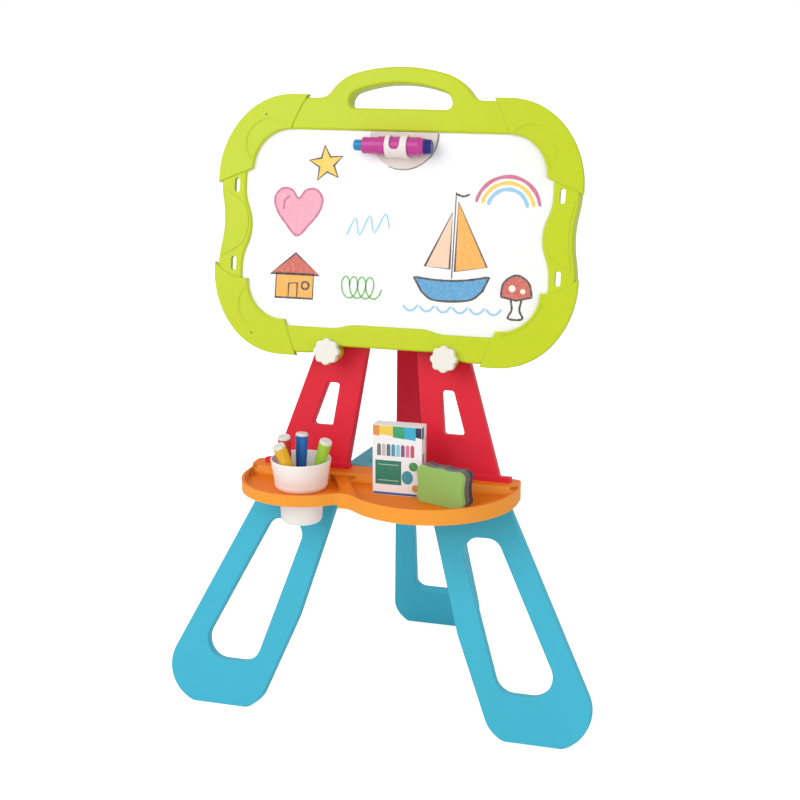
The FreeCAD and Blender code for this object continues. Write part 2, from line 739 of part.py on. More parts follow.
def along_x(body, x, place):
    """Turn a body drawn about Z so that its axis runs along +X, starting at x."""
    body.Placement = Placement(Vector(x, place.y, place.z), Rotation(Vector(0, 1, 0), 90))


def hinge_pin():
    """Steel pin through both uprights and the rear leg."""
    body = new_body("hinge_pin")
    slab(body, ring(0, 0, d.pin_radius),
         "-hinge_reach - cap_thickness + 1", "hinge_reach + cap_thickness - 1")
    along_x(body, 0, front_point(0, d.hinge_up, d.plate_thickness / 2))
    return body


def hinge_cap(side):
    """Push-on cap at one end of the hinge pin."""
    body = new_body("left_hinge_cap" if side < 0 else "right_hinge_cap")
    radius = d.plate_thickness / 2 - 0.5
    end = d.cap_thickness
    bore = d.pin_radius + 0.02
    turned(body, chain((bore, 0), [
        (radius, 0), (radius, end - 1.5), (radius - 1.5, end), (0, end),
        (0, end - 1), (bore, end - 1), (bore, 0)]))
    place = front_point(0, d.hinge_up, d.plate_thickness / 2)
    outward = Rotation(Vector(0, 1, 0), 90 * side)
    body.Placement = Placement(Vector(side * d.hinge_reach, place.y, place.z), outward)
    return body


# ---------------------------------------------------------------- tray, cup and stay


def meeting(first, first_radius, second, second_radius):
    """The crossing of two circles that lies nearer to the user."""
    gap = second - first
    reach = gap.Length
    along = (first_radius ** 2 - second_radius ** 2 + reach ** 2) / (2 * reach)
    across = math.sqrt(first_radius ** 2 - along ** 2)
    unit = gap.normalize()
    return first + unit * along + flat(unit.y, -unit.x) * across


def tray_outline(inset):
    """Two lobes joined by a hollow notch in front, with a straight back."""
    left = flat(d.left_lobe_x, d.left_lobe_y)
    right = flat(d.right_lobe_x, d.right_lobe_y)
    left_radius, right_radius, notch = d.left_lobe - inset, d.right_lobe - inset, d.notch + inset
    hollow = meeting(left, left_radius + notch, right, right_radius + notch)
    left_touch = left + (hollow - left).normalize() * left_radius
    right_touch = right + (hollow - right).normalize() * right_radius
    floor = hollow + ((left_touch + right_touch) * 0.5 - hollow).normalize() * notch
    west, east = left.x - left_radius, right.x + right_radius
    back, corner = d.tray_back - inset, 10
    left_way = flat(left_touch.x - left.x - left_radius, left_touch.y - left.y).normalize()
    right_way = flat(right_touch.x - right.x + right_radius, right_touch.y - right.y).normalize()
    left_via, right_via = left + left_way * left_radius, right + right_way * right_radius
    diagonal = corner * (1 - math.sqrt(0.5))

    def pair(point):
        return point.x, point.y

    return chain((west, left.y), [
        (pair(left_via), pair(left_touch)), (pair(floor), pair(right_touch)),
        (pair(right_via), (east, right.y)), (east, back - corner),
        ((east - diagonal, back - diagonal), (east - corner, back)), (west + corner, back),
        ((west + diagonal, back - diagonal), (west, back - corner)), (west, left.y)])


def ridge_side(y, offset):
    return d.ridge_x - d.ridge_slope * y + offset


def ridge_front(x, y, radius, offset):
    """Where one side of the ridge meets a lobe's wall in front."""
    start = d.ridge_x + offset - x
    square = 1 + d.ridge_slope ** 2
    linear = d.ridge_slope * start + y
    root = math.sqrt(linear ** 2 - square * (start ** 2 + y ** 2 - radius ** 2))
    meet = (linear - root) / square
    return ridge_side(meet, offset), meet


def left_well():
    """Inner edge of the left well: the lobe, the ridge and the platform."""
    x, y, radius = d.left_lobe_x, d.left_lobe_y, d.left_lobe - d.tray_wall
    back, offset = d.platform_front, -d.ridge / 2
    return chain((x - radius, y), [
        ((x, y - radius), ridge_front(x, y, radius, offset)), (ridge_side(back, offset), back),
        (x - radius, back), (x - radius, y)])


def right_well():
    """Inner edge of the right well: the ridge, the lobe and the platform."""
    x, y, radius = d.right_lobe_x, d.right_lobe_y, d.right_lobe - d.tray_wall
    back, offset = d.platform_front, d.ridge / 2
    east = x + math.sqrt(radius ** 2 - (back - y) ** 2)
    return chain((ridge_side(back, offset), back), [
        ridge_front(x, y, radius, offset), ((x, y - radius), (east, back)), (ridge_side(back, offset), back)])


def front_y(level, out):
    """Depth of a layer of the front frame at a height above the floor."""
    lean = math.radians(d.front_lean)
    return level * math.tan(lean) - out / math.cos(lean)


def tray():
    """Orange tray: skirted moulding with two wells, a platform for the uprights and stay lugs."""
    body = new_body("tray")
    slab(body, tray_outline(0), "skirt_right", "tray_rim")
    front, back = d.platform_front, d.tray_back
    west, east = d.left_lobe_x - d.left_lobe, d.right_lobe_x + d.right_lobe
    slab(body, box_outline(west, front, east, back, 9.9), "tray_rim - 1", "tray_platform")
    cut(body, tray_outline(d.tray_wall), "skirt_right", "tray_floor - tray_skin")
    cut(body, box_outline(west + 8, front + 3, east - 8, back - d.tray_wall, 4), "skirt_right", "shoulder")
    cut(body, left_well(), "tray_floor", "tray_rim + 1")
    cut(body, right_well(), "tray_floor", "tray_rim + 1")
    soften(body, "8", well_corner)
    cut(body, ring(d.cup_x, d.cup_y, d.cup_stem + d.cup_gap), "skirt_right", "tray_floor + 1")
    cut(body, box_outline(west - 5, d.tray_front - 5, -36, back - d.tray_wall), "skirt_right", "skirt_left")
    inner, outer = plug_span()
    near = front_y(d.shoulder, (d.plate_thickness + d.plug_thickness) / 2) - d.plug_gap
    far = front_y(d.tray_platform, (d.plate_thickness - d.plug_thickness) / 2) + d.plug_gap
    for side in (-1, 1):
        passage = side_box(side, inner - d.plug_gap, outer + d.plug_gap, near, far)
        cut(body, passage, "shoulder", "tray_platform")
        ear = "%d * (stay_half_root + 0.5 + lug_thickness / 2)" % side
        low, high = ear + " - lug_thickness / 2", ear + " + lug_thickness / 2"
        slab(body, box_outline(back - 1, d.stay_z - 5.5, d.stay_y, d.stay_z + 5.5), low, high, "YZ_Plane")
        slab(body, ring(d.stay_y, d.stay_z, 5.5), low, high, "YZ_Plane")
        cut(body, ring(d.stay_y, d.stay_z, d.stay_pin + 0.02), low + " - 1", high + " + 1", "YZ_Plane")
    standing_at(body, "0", "0", "0")
    return body


def well_corner(edge):
    """Picks the upright corners of the two wells."""
    box = edge.BoundBox
    upright_edge = box.XLength < 1e-4 and box.YLength < 1e-4
    return upright_edge and abs(box.ZMin - d.tray_floor) < 1e-4 and abs(box.XMin) < 170


def pen_cup():
    """White cup: a bowl that stands on the tray and a stem that hangs through it."""
    body = new_body("pen_cup")
    wall = d.cup_wall
    high, low = d.cup_height, -d.cup_drop
    bowl, stem = d.cup_bowl, d.cup_stem
    outside = [(d.cup_base - 7, low), ((d.cup_base - 2.05, low + 2.05), (d.cup_base, low + 7)), (stem, 0),
               (bowl - 3.4, 0), ((bowl - 0.9, 3), (bowl, 9)), (d.cup_rim, high)]
    inside = [(d.cup_rim - wall, high), (bowl - wall, 9), ((bowl - wall - 0.8, 4.4), (bowl - wall - 3, wall)),
              (stem - wall, wall), (d.cup_base - wall, low + 7), ((d.cup_base - wall - 1.6, low + wall + 1.6),
                                                                (d.cup_base - wall - 5, low + wall)),
              (0, low + wall), (0, low)]
    turned(body, chain((0, low), outside + inside))
    standing_at(body, "cup_x", "cup_y", "tray_floor")
    return body


def stay():
    """Blue fork that holds the rear leg apart: hinged at the tray, open round the leg."""
    body = new_body("stay")
    lean = math.radians(d.rear_lean)
    under = d.stay_z - d.stay_thickness / 2
    leg_back = d.rear_spread + d.plate_thickness / math.cos(lean) - under * math.tan(lean) - d.stay_y
    leg_half = rear_half((d.stay_z - d.stay_thickness) / math.cos(lean)) + d.fork_gap
    tip = leg_back + 11
    nose = leg_back + 0.5
    catch = leg_half - d.nose_reach
    half = [(d.stay_half_root, 0), (d.stay_half_root, 8), (d.stay_half_tip, tip - 6),
            ((d.stay_half_tip - 1.8, tip - 1.8), (d.stay_half_tip - 6, tip)),
            (catch + 2, tip), (catch, nose + 3), (catch, nose),
            (leg_half, nose), (leg_half, d.stay_bridge + 8),
            ((leg_half - 2.4, d.stay_bridge + 2.4), (leg_half - 8, d.stay_bridge)), (0, d.stay_bridge)]
    slab(body, both_sides((0, 0), half), "-stay_thickness / 2", "stay_thickness / 2")
    edge = "stay_half_root"
    slab(body, ring(0, 0, 5), "-" + edge, edge, "YZ_Plane")
    cut(body, ring(0, 0, d.stay_pin + d.pin_gap), "-" + edge, edge, "YZ_Plane")
    standing_at(body, "0", "stay_y", "stay_z")
    return body


def stay_pin():
    """Pivot pin of the stay, held in the tray's lugs."""
    body = new_body("stay_pin")
    slab(body, ring(0, 0, d.stay_pin),
         "-(stay_half_root + lug_thickness + 1)", "stay_half_root + lug_thickness + 1")
    along_x(body, 0, Vector(0, d.stay_y - d.middle, d.stay_z))
    return body


# ---------------------------------------------------------------- board


def settled(start, points, level):
    """Across at which one more arc after the points runs smoothly onto a level line."""
    place, heading = flat(*start), flat(1, 0)
    for point in points:
        heading = tangent_arc(place, heading, flat(*point))[1]
        place = flat(*point)
    return place.x + (place.y - level) / math.tan(math.atan2(-heading.y, heading.x) / 2)


def frame_edge(inset):
    """Right half of the frame's outer edge, from the top of the handle to the bottom middle."""
    half, low, high = d.bar_half - inset, d.bar_low + inset, d.bar_high - inset
    top, reach = d.handle_high - inset, d.handle_half - inset
    rise = top - high
    first, second = (reach * 0.62, top - rise * 0.2), (reach * 0.965, top - rise * 0.78)
    handle = ("flow", (1, 0), first, second, (settled((0, top), (first, second), high), high))
    wide, tall = d.corner_wide - d.pad_step / 2 - inset, d.corner_tall - d.pad_step / 2 - inset
    waist_up = (d.corner_low + d.corner_high) / 2
    draw = ((high - low) / 2 - tall) / 2
    rise_end = d.seam - 12
    return (0, top), [
        handle, (half - wide, high)] + quarter((half - wide, high - tall), wide, tall, 90, 0) + [
        ("flow", (0, -1), (half - d.waist / 2, waist_up + draw), (half - d.waist, waist_up),
         (half - d.waist / 2, waist_up - draw), (half, low + tall))] + quarter(
             (half - wide, low + tall), wide, tall, 0, -90) + [
        (rise_end, low),
        ("flow", (-1, 0), (rise_end - 23, low + d.low_rise / 2), (rise_end - 46, low + d.low_rise)),
        (0, low + d.low_rise)]


def window_edge(grow):
    """Right half of the window, grown outwards for the panel and the rebates."""
    half, high, low = d.window_half + grow, d.window_high + grow, d.window_low - grow
    turn = d.window_round + grow
    up = (high + low) / 2
    bulge = d.window_waist
    rise = low + d.window_rise
    swell = 0.756 * ((high - low) / 2 - turn)
    return (0, high), [
        (half - turn, high)] + quarter((half - turn, high - turn), turn, turn, 90, 0) + [
        (half, up + swell), ("flow", (0, -1), (half - bulge / 2, up + swell / 2), (half - bulge, up),
                             (half - bulge / 2, up - swell / 2), (half, up - swell)),
        (half, low + turn)] + quarter((half - turn, low + turn), turn, turn, 0, -90) + [
        (78, low), ("flow", (-1, 0), (60, low + d.window_rise / 2), (42, rise)), (0, rise)]


def grip_edge():
    """Right half of the grip hole under the handle."""
    high = d.handle_high - d.handle_band
    turn = 8
    near = turn * (1 - math.sqrt(0.5))
    middle = d.grip_low + turn
    return (0, high), quarter((0, middle), d.grip_half, high - middle, 90, 0) + [
        ((d.grip_half - near, d.grip_low + near), (d.grip_half - turn, d.grip_low)), (0, d.grip_low)]


def frame_bars():
    return both_sides(*frame_edge(0)) + both_sides(*window_edge(0)) + both_sides(*grip_edge())


def channel():
    """Hollow of a moulding, between its outer wall and the ledge round the panel."""
    shelf = d.grip_low - d.wall
    rise = [(d.handle_half - 17, shelf), (d.handle_half + 7, d.bar_high - d.wall)]
    outside = rise + frame_edge(d.wall)[1][1:]
    return both_sides((0, shelf), outside) + both_sides(*window_edge(d.panel_lap + d.wall))


def upper_pad(side):
    """Raised pad over an upper corner of the frame."""
    turn = d.window_round - d.pad_cover
    x, up, skirt = d.window_half - d.window_round, d.window_high - turn - 2, d.corner_high - d.pad_skirt
    corner = quarter((d.corner_x, d.corner_high), d.corner_wide, d.corner_tall, 90, 0)
    return chain((d.seam, d.board_high), [(d.corner_x, d.board_high)] + corner + [
        (d.board_half, skirt),
        ((d.window_half + 18, skirt + 8), (d.window_half - d.pad_cover, up))] + quarter(
            (x, up), turn, turn + 2, 0, 90) + [
        ((d.seam + 12, d.window_high + 24), (d.seam, d.board_high))], side)


def lower_pad(side):
    """Raised pad over a lower corner of the frame."""
    turn = d.window_round - d.pad_cover
    x, low = d.window_half - d.window_round, d.window_low + d.pad_cover - 1
    skirt = d.corner_low + d.pad_skirt
    return chain((d.board_half, skirt), [(d.board_half, d.corner_low)] + quarter(
        (d.corner_x, d.corner_low), d.corner_wide, d.corner_tall, 0, -90) + [
        (d.seam, d.board_low), ((d.seam + 9, d.board_low + 22), (x - 4, low)), (x, low)] + quarter(
            (x, low + turn), turn, turn, -90, 0) + [
        ((d.window_half + 17, skirt - 15), (d.board_half, skirt))], side)


def crescent(side, upper):
    """Shallow leaf beside the window in a corner pad."""
    turn = d.window_round - d.pad_cover
    x = d.window_half - d.window_round
    out = turn + 3
    if upper:
        up, way = d.window_high - turn - 2, 1
    else:
        up, way = d.window_low + d.pad_cover - 1 + turn, -1
    middle = (x + out * 0.7071, up + out * 0.7071 * way)
    return chain((x + 4, up + (out + 1) * way), [
        ((x + out, up + out * way), (x + out, up + 12 * way)), (middle, (x + 4, up + (out + 1) * way))], side)


def leaf(side):
    """Raised leaf on the middle of a side bar, between its slots."""
    up = (d.corner_low + d.corner_high) / 2
    out, near = d.bar_half - d.bar_round - 1.5, d.window_half + 1
    swell = d.window_half - d.window_waist + d.bar_round + 1
    return chain((out, up + 44), [
        ((out - d.waist, up), (out, up - 44)), ((out - 14, up - 37), (near, up - 27)),
        ((swell, up), (near, up + 27)), ((out - 14, up + 37), (out, up + 44))], side)


def slot_outlines(grow, outward=0):
    """One outline round each of the four oblong slots near the ends of the side bars."""
    x = (d.bar_half + d.window_half) / 2 - 5 + outward
    wide, tall = d.slot_half + grow, d.slot_reach + grow
    curves = []
    for up in (d.corner_high - 11, d.corner_low + 7):
        for side in (-1, 1):
            curves += side_box(side, x - wide, x + wide, up - tall, up + tall, min(wide, 5))
    return curves


def screw_places():
    """The six screws that join the mouldings, from the back."""
    far = (d.bar_half + d.window_half) / 2 - 18
    places = []
    for side in (-1, 1):
        places += [(side * far, d.corner_high + 58), (side * far, d.corner_low - 60),
                   (side * 88, d.window_high + 17)]
    return places


def rings(places, radius):
    curves = []
    for x, up in places:
        curves += ring(x, up, radius)
    return curves


def knob_places():
    return [(-d.knob_x, d.knob_up), (d.knob_x, d.knob_up)]


def frame_back():
    """Lime back moulding: a channel behind the panel, closed towards the uprights."""
    body = new_body("frame_back_shell")
    slab(body, frame_bars(), "board_back", "split")
    slab(body, rings(knob_places(), d.lug_radius), "board_back", "split")
    cut(body, channel(), "board_back + wall", "split")
    bosses = rings(screw_places(), 4.5) + rings(knob_places(), d.pin_radius + d.wall)
    bores = rings(screw_places(), 1.6) + rings(knob_places(), d.pin_radius + d.pin_gap)
    slab(body, bosses, "board_back + wall - 1", "split")
    cut(body, rings(screw_places(), 3.2), "board_back", "board_back + 2")
    cut(body, bores + slot_outlines(6.5, 3.5), "board_back", "split")
    in_front_plane(body)
    return body


def frame_front():
    """Lime front moulding: wavy bars, raised corner pads with crescents, handle, slots and pips."""
    body = new_body("frame_front_shell")
    slab(body, frame_bars(), "split", "bar_face")
    soften(body, "bar_round", at_level(d.bar_face))
    slab(body, leaf(-1) + leaf(1), "bar_face - 1", "bar_face + leaf_rise")
    soften(body, "0.8", at_level(d.bar_face + d.leaf_rise))
    slab(body, rings(knob_places(), d.lug_radius), "split", "bar_face")
    slab(body, upper_pad(-1) + upper_pad(1) + lower_pad(-1) + lower_pad(1), "split", "pad_face")
    soften(body, "pad_round", at_level(d.pad_face))
    cut(body, both_sides(*window_edge(d.panel_lap)), "split", "panel_face")
    cut(body, channel(), "split", "panel_face + 1")
    leaves = crescent(-1, True) + crescent(1, True) + crescent(-1, False) + crescent(1, False)
    cut(body, leaves, "pad_face - 1", "pad_face")
    slab(body, rings(screw_places(), 4.5) + slot_outlines(2.4) + rings(knob_places(), d.pin_radius + d.wall),
         "split", "panel_face + 2")
    cut(body, rings(screw_places(), 1.3), "split", "panel_face")
    cut(body, slot_outlines(0) + rings(knob_places(), d.pin_radius + d.pin_gap), "split", "bar_face")
    pip_up = (d.bar_low + d.low_rise + d.window_low + d.window_rise) / 2 + 1
    slab(body, rings([(x, pip_up) for x in (-57, -19, 19, 57)], 2.6), "bar_face - 1", "bar_face + 0.9")
    in_front_plane(body)
    return body


def writing_panel():
    """White writing panel, clamped between the two mouldings."""
    body = new_body("writing_panel")
    slab(body, both_sides(*window_edge(d.panel_lap - d.panel_gap)), "split", "panel_face")
    in_front_plane(body)
    return body


def frame_screw(name, x, up):
    """Pan-head screw joining the mouldings from the back."""
    body = new_body(name)
    slab(body, ring(x, up, 2.9), "board_back + 0.4", "board_back + 2")
    slab(body, ring(x, up, 1.25), "board_back + 1", "panel_face - 1")
    in_front_plane(body)
    return body


def lobed(x, y, radius, lobes):
    """A round outline with shallow smooth lobes."""
    convex, concave = radius * 0.31, radius * 0.23
    seat = radius - convex
    half = math.pi / lobes
    beside = seat * math.cos(half)
    far = beside + math.sqrt(beside ** 2 - seat ** 2 + (convex + concave) ** 2)
    curves = []
    for k in range(lobes):
        angle = 2 * math.pi * k / lobes
        here = flat(math.cos(angle), math.sin(angle))
        before = flat(math.cos(angle - half), math.sin(angle - half)) * far
        after = flat(math.cos(angle + half), math.sin(angle + half)) * far
        following = flat(math.cos(angle + 2 * half), math.sin(angle + 2 * half)) * seat
        centre = flat(x, y)
        lobe = here * seat
        enter = lobe + (before - lobe).normalize() * convex
        leave = lobe + (after - lobe).normalize() * convex
        end = following + (after - following).normalize() * convex
        curves.append(Part.Arc(centre + enter, centre + here * radius, centre + leave))
        curves.append(Part.Arc(centre + leave, centre + after.normalize() * (far - concave), centre + end))
    return curves


def thumb_screw(label, side):
    """Eight-lobed thumb screw through the frame's lug and the upright into its nut."""
    body = new_body(label)
    x, up = d.knob_x * side, d.knob_up
    slab(body, lobed(x, up, d.knob_radius, 8), "bar_face + 0.1", "bar_face + 0.1 + knob_thickness")
    soften(body, "1.8", at_level(d.bar_face + 0.1 + d.knob_thickness))
    slab(body, ring(x, up, d.pin_radius), "-2", "bar_face + 1")
    in_front_plane(body)
    return body


def marker_clip():
    """Off-white clip: half-disc plate on the panel with two jaws that hold a marker."""
    body = new_body("marker_clip")
    plate = chain((d.clip_x - d.clip_radius, d.window_high - 0.3), [
        (d.clip_x - d.clip_radius, d.window_high - 3),
        ((d.clip_x, d.window_high - 3 - d.clip_radius), (d.clip_x + d.clip_radius, d.window_high - 3)),
        (d.clip_x + d.clip_radius, d.window_high - 0.3), (d.clip_x - d.clip_radius, d.window_high - 0.3)])
    slab(body, plate, "panel_face", "panel_face + clip_plate")
    inner = d.marker_radius + 0.25
    outer = inner + d.jaw_wall
    up, out = d.marker_up, d.marker_out

    def polar(radius, degrees):
        angle = math.radians(degrees)
        return (up + radius * math.cos(angle), out + radius * math.sin(angle))

    foot = d.panel_face + d.clip_plate - 0.5
    jaw = chain(polar(inner, -40), [
        (polar(inner, 70), polar(inner, 180)), (up - inner, foot), (up - outer, foot),
        (up - outer, out), (polar(outer, 70), polar(outer, -40)), polar(inner, -40)])
    for low, high in ((-22, -14), (-1, 9)):
        slab(body, jaw, str(low), str(high), "YZ_Plane")
    in_front_plane(body)
    return body


def clip_marker_piece(label, x, profile):
    body = new_body(label)
    turned(body, chain((0, 0), profile))
    along_x(body, x, front_point(0, d.marker_up, d.marker_out))
    return body


def clip_marker():
    """Marker in the clip: blue tip cap, stepped magenta barrel and navy end plug."""
    big = d.marker_radius
    small = big - 1.2
    clip_marker_piece("clip_marker_cap", -55, [(4.5, 0), ((6.4, 1.0), (7, 3)), (7, 12), (0, 12), (0, 0)])
    clip_marker_piece("clip_marker_barrel", -43, [
        (small - 1, 0), (small, 1.2), (small, 20), (big, 21.5), (big, 75),
        (big - 1.6, 82), (0, 82), (0, 0)])
    clip_marker_piece("clip_marker_plug", 39, [
        (big - 1.8, 0), (big - 2.6, 7), ((big - 3.4, 9.3), (big - 6, 10)), (0, 10), (0, 0)])


# ---------------------------------------------------------------- things on the tray

# Where each marker stands in the cup: its foot and its head, from the cup's centre.
PENS = {
    "yellow": ((17, -3), (-19, -32)),
    "red": ((-16, 4), (-18, -13)),
    "blue": ((-3, -3), (0, 6)),
    "green": ((0, 12), (36, -3)),
}


def pen(colour):
    """Marker of the cup: narrow barrel and wide tapered cap, with its own pale end plug."""
    foot, head = PENS[colour]
    across = flat(head[0] - foot[0], head[1] - foot[1])
    length = d.pen_length + d.pen_plug
    rise = math.sqrt(length ** 2 - across.Length ** 2)
    axis = Vector(across.x, across.y, rise)
    cup_bottom = d.tray_floor - d.cup_drop + d.cup_wall
    start = Vector(d.cup_x + foot[0], d.cup_y + foot[1] - d.middle, cup_bottom + 0.05)
    lift = (d.pen_barrel - 1.5) * across.Length / length
    place = Placement(start + Vector(0, 0, lift), Rotation(Vector(0, 0, 1), axis))
    barrel = new_body(colour + "_marker")
    joint = d.pen_length - d.pen_cap_length
    turned(barrel, chain((0, 0), [
        (d.pen_barrel - 1.5, 0), (d.pen_barrel, 1.5), (d.pen_barrel, joint),
        (d.pen_cap - 1.2, joint), (d.pen_cap, d.pen_length), (0, d.pen_length), (0, 0)]))
    barrel.Placement = place
    plug = new_body(colour + "_marker_plug")
    turned(plug, chain((0, d.pen_length), [(d.pen_cap - 0.5, d.pen_length), (d.pen_cap - 0.5, length - 1.2),
                                           (d.pen_cap - 1.7, length), (0, length), (0, d.pen_length)]))
    plug.Placement = place


def crayon_carton():
    """Carton of crayons with a tuck-in lid."""
    body = new_body("crayon_carton")
    slab(body, box_outline(0, 0, d.carton_wide, d.carton_deep), "0", "carton_tall")
    lid = "carton_tall - 0.6"
    cut(body, box_outline(-1, 1, d.carton_wide + 1, 1.5), lid, "carton_tall")
    cut(body, box_outline(d.carton_wide - 0.4, 1, d.carton_wide, d.carton_deep - 1),
        "carton_tall - 12", "carton_tall - 11.5")
    standing_at(body, "0", "carton_y", "tray_floor")
    return body


def eraser_outline():
    """Rounded block with softly drawn-in sides, standing on its long edge."""
    half, tall, turn = d.eraser_long / 2, d.eraser_tall, 9
    near = turn * (1 - math.sqrt(0.5))
    return both_sides((0, tall), [
        ((half / 2, tall - 1.4), (half - turn, tall)), ((half - near, tall - near), (half, tall - turn)),
        ((half - 2.2, tall / 2), (half, turn)), ((half - near, near), (half - turn, 0)), (0, 0)])


def eraser_layer(label, near, far):
    """One layer of the eraser, from its front face backwards."""
    body = new_body(label)
    slab(body, eraser_outline(), str(-far), str(-near))
    yaw = Rotation(Vector(0, 0, 1), d.eraser_yaw)
    stand = Rotation(Vector(1, 0, 0), 90)
    body.Placement = Placement(Vector(95, -29 - d.middle, d.tray_floor), yaw.multiply(stand))
    return body


# ---------------------------------------------------------------- the easel


def build():
    for side, name in ((-1, "left"), (1, "right")):
        upright(name + "_upright", side)
        front_leg(name + "_leg", side)
        knob_nut(name + "_knob_nut", side)
        thumb_screw(name + "_knob", side)
        hinge_cap(side)
    rear_leg_upper()
    rear_leg_lower()
    hinge_pin()
    tray()
    stay()
    stay_pin()
    pen_cup()
    frame_front()
    frame_back()
    writing_panel()
    marker_clip()
    for number, (x, up) in enumerate(screw_places(), 1):
        frame_screw("frame_screw_%d" % number, x, up)
    clip_marker()
    for colour in PENS:
        pen(colour)
    crayon_carton()
    eraser_layer("eraser_handle", 0, 7)
    eraser_layer("eraser_foam", 7, 17)
    eraser_layer("eraser_felt", 17, 24)
    doc.recompute()


# Identical fasteners share one node each.
GROUPS = {
    "frame_screws": ["frame_screw_%d" % n for n in range(1, 7)],
    "knob_nuts": ["left_knob_nut", "right_knob_nut"],
    "hinge_caps": ["left_hinge_cap", "right_hinge_cap"],
}


def write_parts():
    for item in doc.Objects:
        if "Invalid" in item.State or "Error" in item.State:
            raise RuntimeError("failed feature %s in %s" % (item.Name, item.getParentGeoFeatureGroup()))
    bodies = {item.Label: item for item in doc.Objects if item.TypeId == "PartDesign::Body"}
    grouped = [label for labels in GROUPS.values() for label in labels]
    shapes = {label: body.Shape for label, body in bodies.items() if label not in grouped}
    for name, labels in GROUPS.items():
        shapes[name] = Part.makeCompound([bodies[label].Shape for label in labels])
    os.makedirs("parts", exist_ok=True)
    for name, shape in shapes.items():
        if shape.isNull() or not shape.isValid() or not shape.Solids:
            raise RuntimeError("bad shape: " + name)
        if name not in GROUPS and len(shape.Solids) != 1:
            raise RuntimeError("%s is %d solids" % (name, len(shape.Solids)))
    for name, shape in sorted(shapes.items()):
        shape.exportStep(os.path.join("parts", name + ".step"))


fill_sheet()
build()
write_parts()
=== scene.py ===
import json
import math

import bmesh
import bpy
from bpy.props import FloatProperty, FloatVectorProperty, PointerProperty
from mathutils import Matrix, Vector

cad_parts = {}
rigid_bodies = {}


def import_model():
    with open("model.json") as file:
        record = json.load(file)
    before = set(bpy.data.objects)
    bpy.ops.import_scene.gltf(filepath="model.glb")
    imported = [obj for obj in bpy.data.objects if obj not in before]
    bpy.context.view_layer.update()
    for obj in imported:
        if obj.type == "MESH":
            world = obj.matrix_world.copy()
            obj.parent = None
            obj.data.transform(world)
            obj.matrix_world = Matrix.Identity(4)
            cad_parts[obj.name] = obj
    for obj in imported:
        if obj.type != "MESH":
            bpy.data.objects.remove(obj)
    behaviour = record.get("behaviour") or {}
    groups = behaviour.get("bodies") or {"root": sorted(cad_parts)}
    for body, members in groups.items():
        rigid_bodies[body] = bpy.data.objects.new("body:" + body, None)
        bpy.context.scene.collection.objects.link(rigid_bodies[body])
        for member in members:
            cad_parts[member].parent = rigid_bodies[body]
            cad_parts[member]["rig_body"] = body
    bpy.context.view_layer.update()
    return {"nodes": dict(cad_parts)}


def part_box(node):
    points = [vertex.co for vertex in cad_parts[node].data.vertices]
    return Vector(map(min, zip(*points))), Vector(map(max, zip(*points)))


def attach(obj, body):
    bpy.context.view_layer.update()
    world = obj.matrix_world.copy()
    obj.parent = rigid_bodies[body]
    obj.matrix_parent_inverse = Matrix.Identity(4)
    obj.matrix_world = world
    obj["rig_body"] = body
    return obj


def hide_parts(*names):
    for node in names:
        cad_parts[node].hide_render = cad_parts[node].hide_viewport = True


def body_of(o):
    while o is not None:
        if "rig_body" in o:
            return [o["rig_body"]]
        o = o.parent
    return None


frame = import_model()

bl_info = {
    "name": "Kids Easel",
    "version": (1, 0, 0),
    "blender": (4, 5, 0),
    "location": "View3D > Sidebar > Easel",
    "description": "Dresses a drawing easel: mouldings, panel with drawings, tray and the things on it",
    "category": "Object",
}

NODES = frame["nodes"]
MM = 0.001

# shares of the rounding size for the smaller mouldings
CUP_EDGE, BARREL_EDGE, THIN_EDGE = 0.7, 0.6, 0.5


# ---------------------------------------------------------------- settings


def colour_property(name, description, value):
    return FloatVectorProperty(name=name, description=description, default=value,
                               subtype="COLOR", size=3, min=0.0, max=1.0)


def length_property(name, description, value):
    return FloatProperty(name=name, description=description, default=value, unit="LENGTH")


class EaselColours(bpy.types.PropertyGroup):
    """Colours of the mouldings and of the things on the tray."""

    lime: colour_property("Frame", "Board frame moulding", (0.57, 0.68, 0.014))
    red: colour_property("Uprights", "Uprights and upper rear leg", (0.78, 0.014, 0.040))
    blue: colour_property("Legs", "Legs and stay", (0.060, 0.50, 0.68))
    orange: colour_property("Tray", "Accessory tray", (0.92, 0.22, 0.002))
    # painted light: a lighter orange for the tray's upright faces, in place of the light on its thin
    # walls
    orange_lit_wall: colour_property("Tray walls", "Thin upright walls of the tray", (0.98, 0.36, 0.035))
    white: colour_property("White parts", "Pen cup and the caps of the hinge pin", (0.99, 0.97, 0.94))
    panel: colour_property("Writing panel", "Dry-wipe surface", (0.95, 0.95, 0.95))
    magenta: colour_property("Clip marker", "Barrel of the marker in the clip", (0.55, 0.050, 0.31))
    tip: colour_property("Clip marker cap", "Small cap of the marker in the clip", (0.012, 0.27, 0.52))
    navy: colour_property("Clip marker plug", "End of the marker in the clip", (0.010, 0.016, 0.20))


class EaselSizes(bpy.types.PropertyGroup):
    """Sizes that the dressing needs beyond the frame."""

    board_lean: FloatProperty(name="Lean", description="Lean of the board",
                              subtype="ANGLE", default=math.radians(11.4))
    board_back: length_property("Set back", "Sole edge to the middle", 0.1376511)
    panel_face: length_property("Panel face", "Panel face in front of the uprights' back", 0.0362)
    pad_step: length_property("Pad step", "Corner pads in front of the panel's face", 0.006)
    edge: length_property("Edge", "Rounding of the moulded edges", 0.0009)
    stroke: length_property("Stroke", "Width of a pen stroke", 0.0029)


# ---------------------------------------------------------------- shader groups


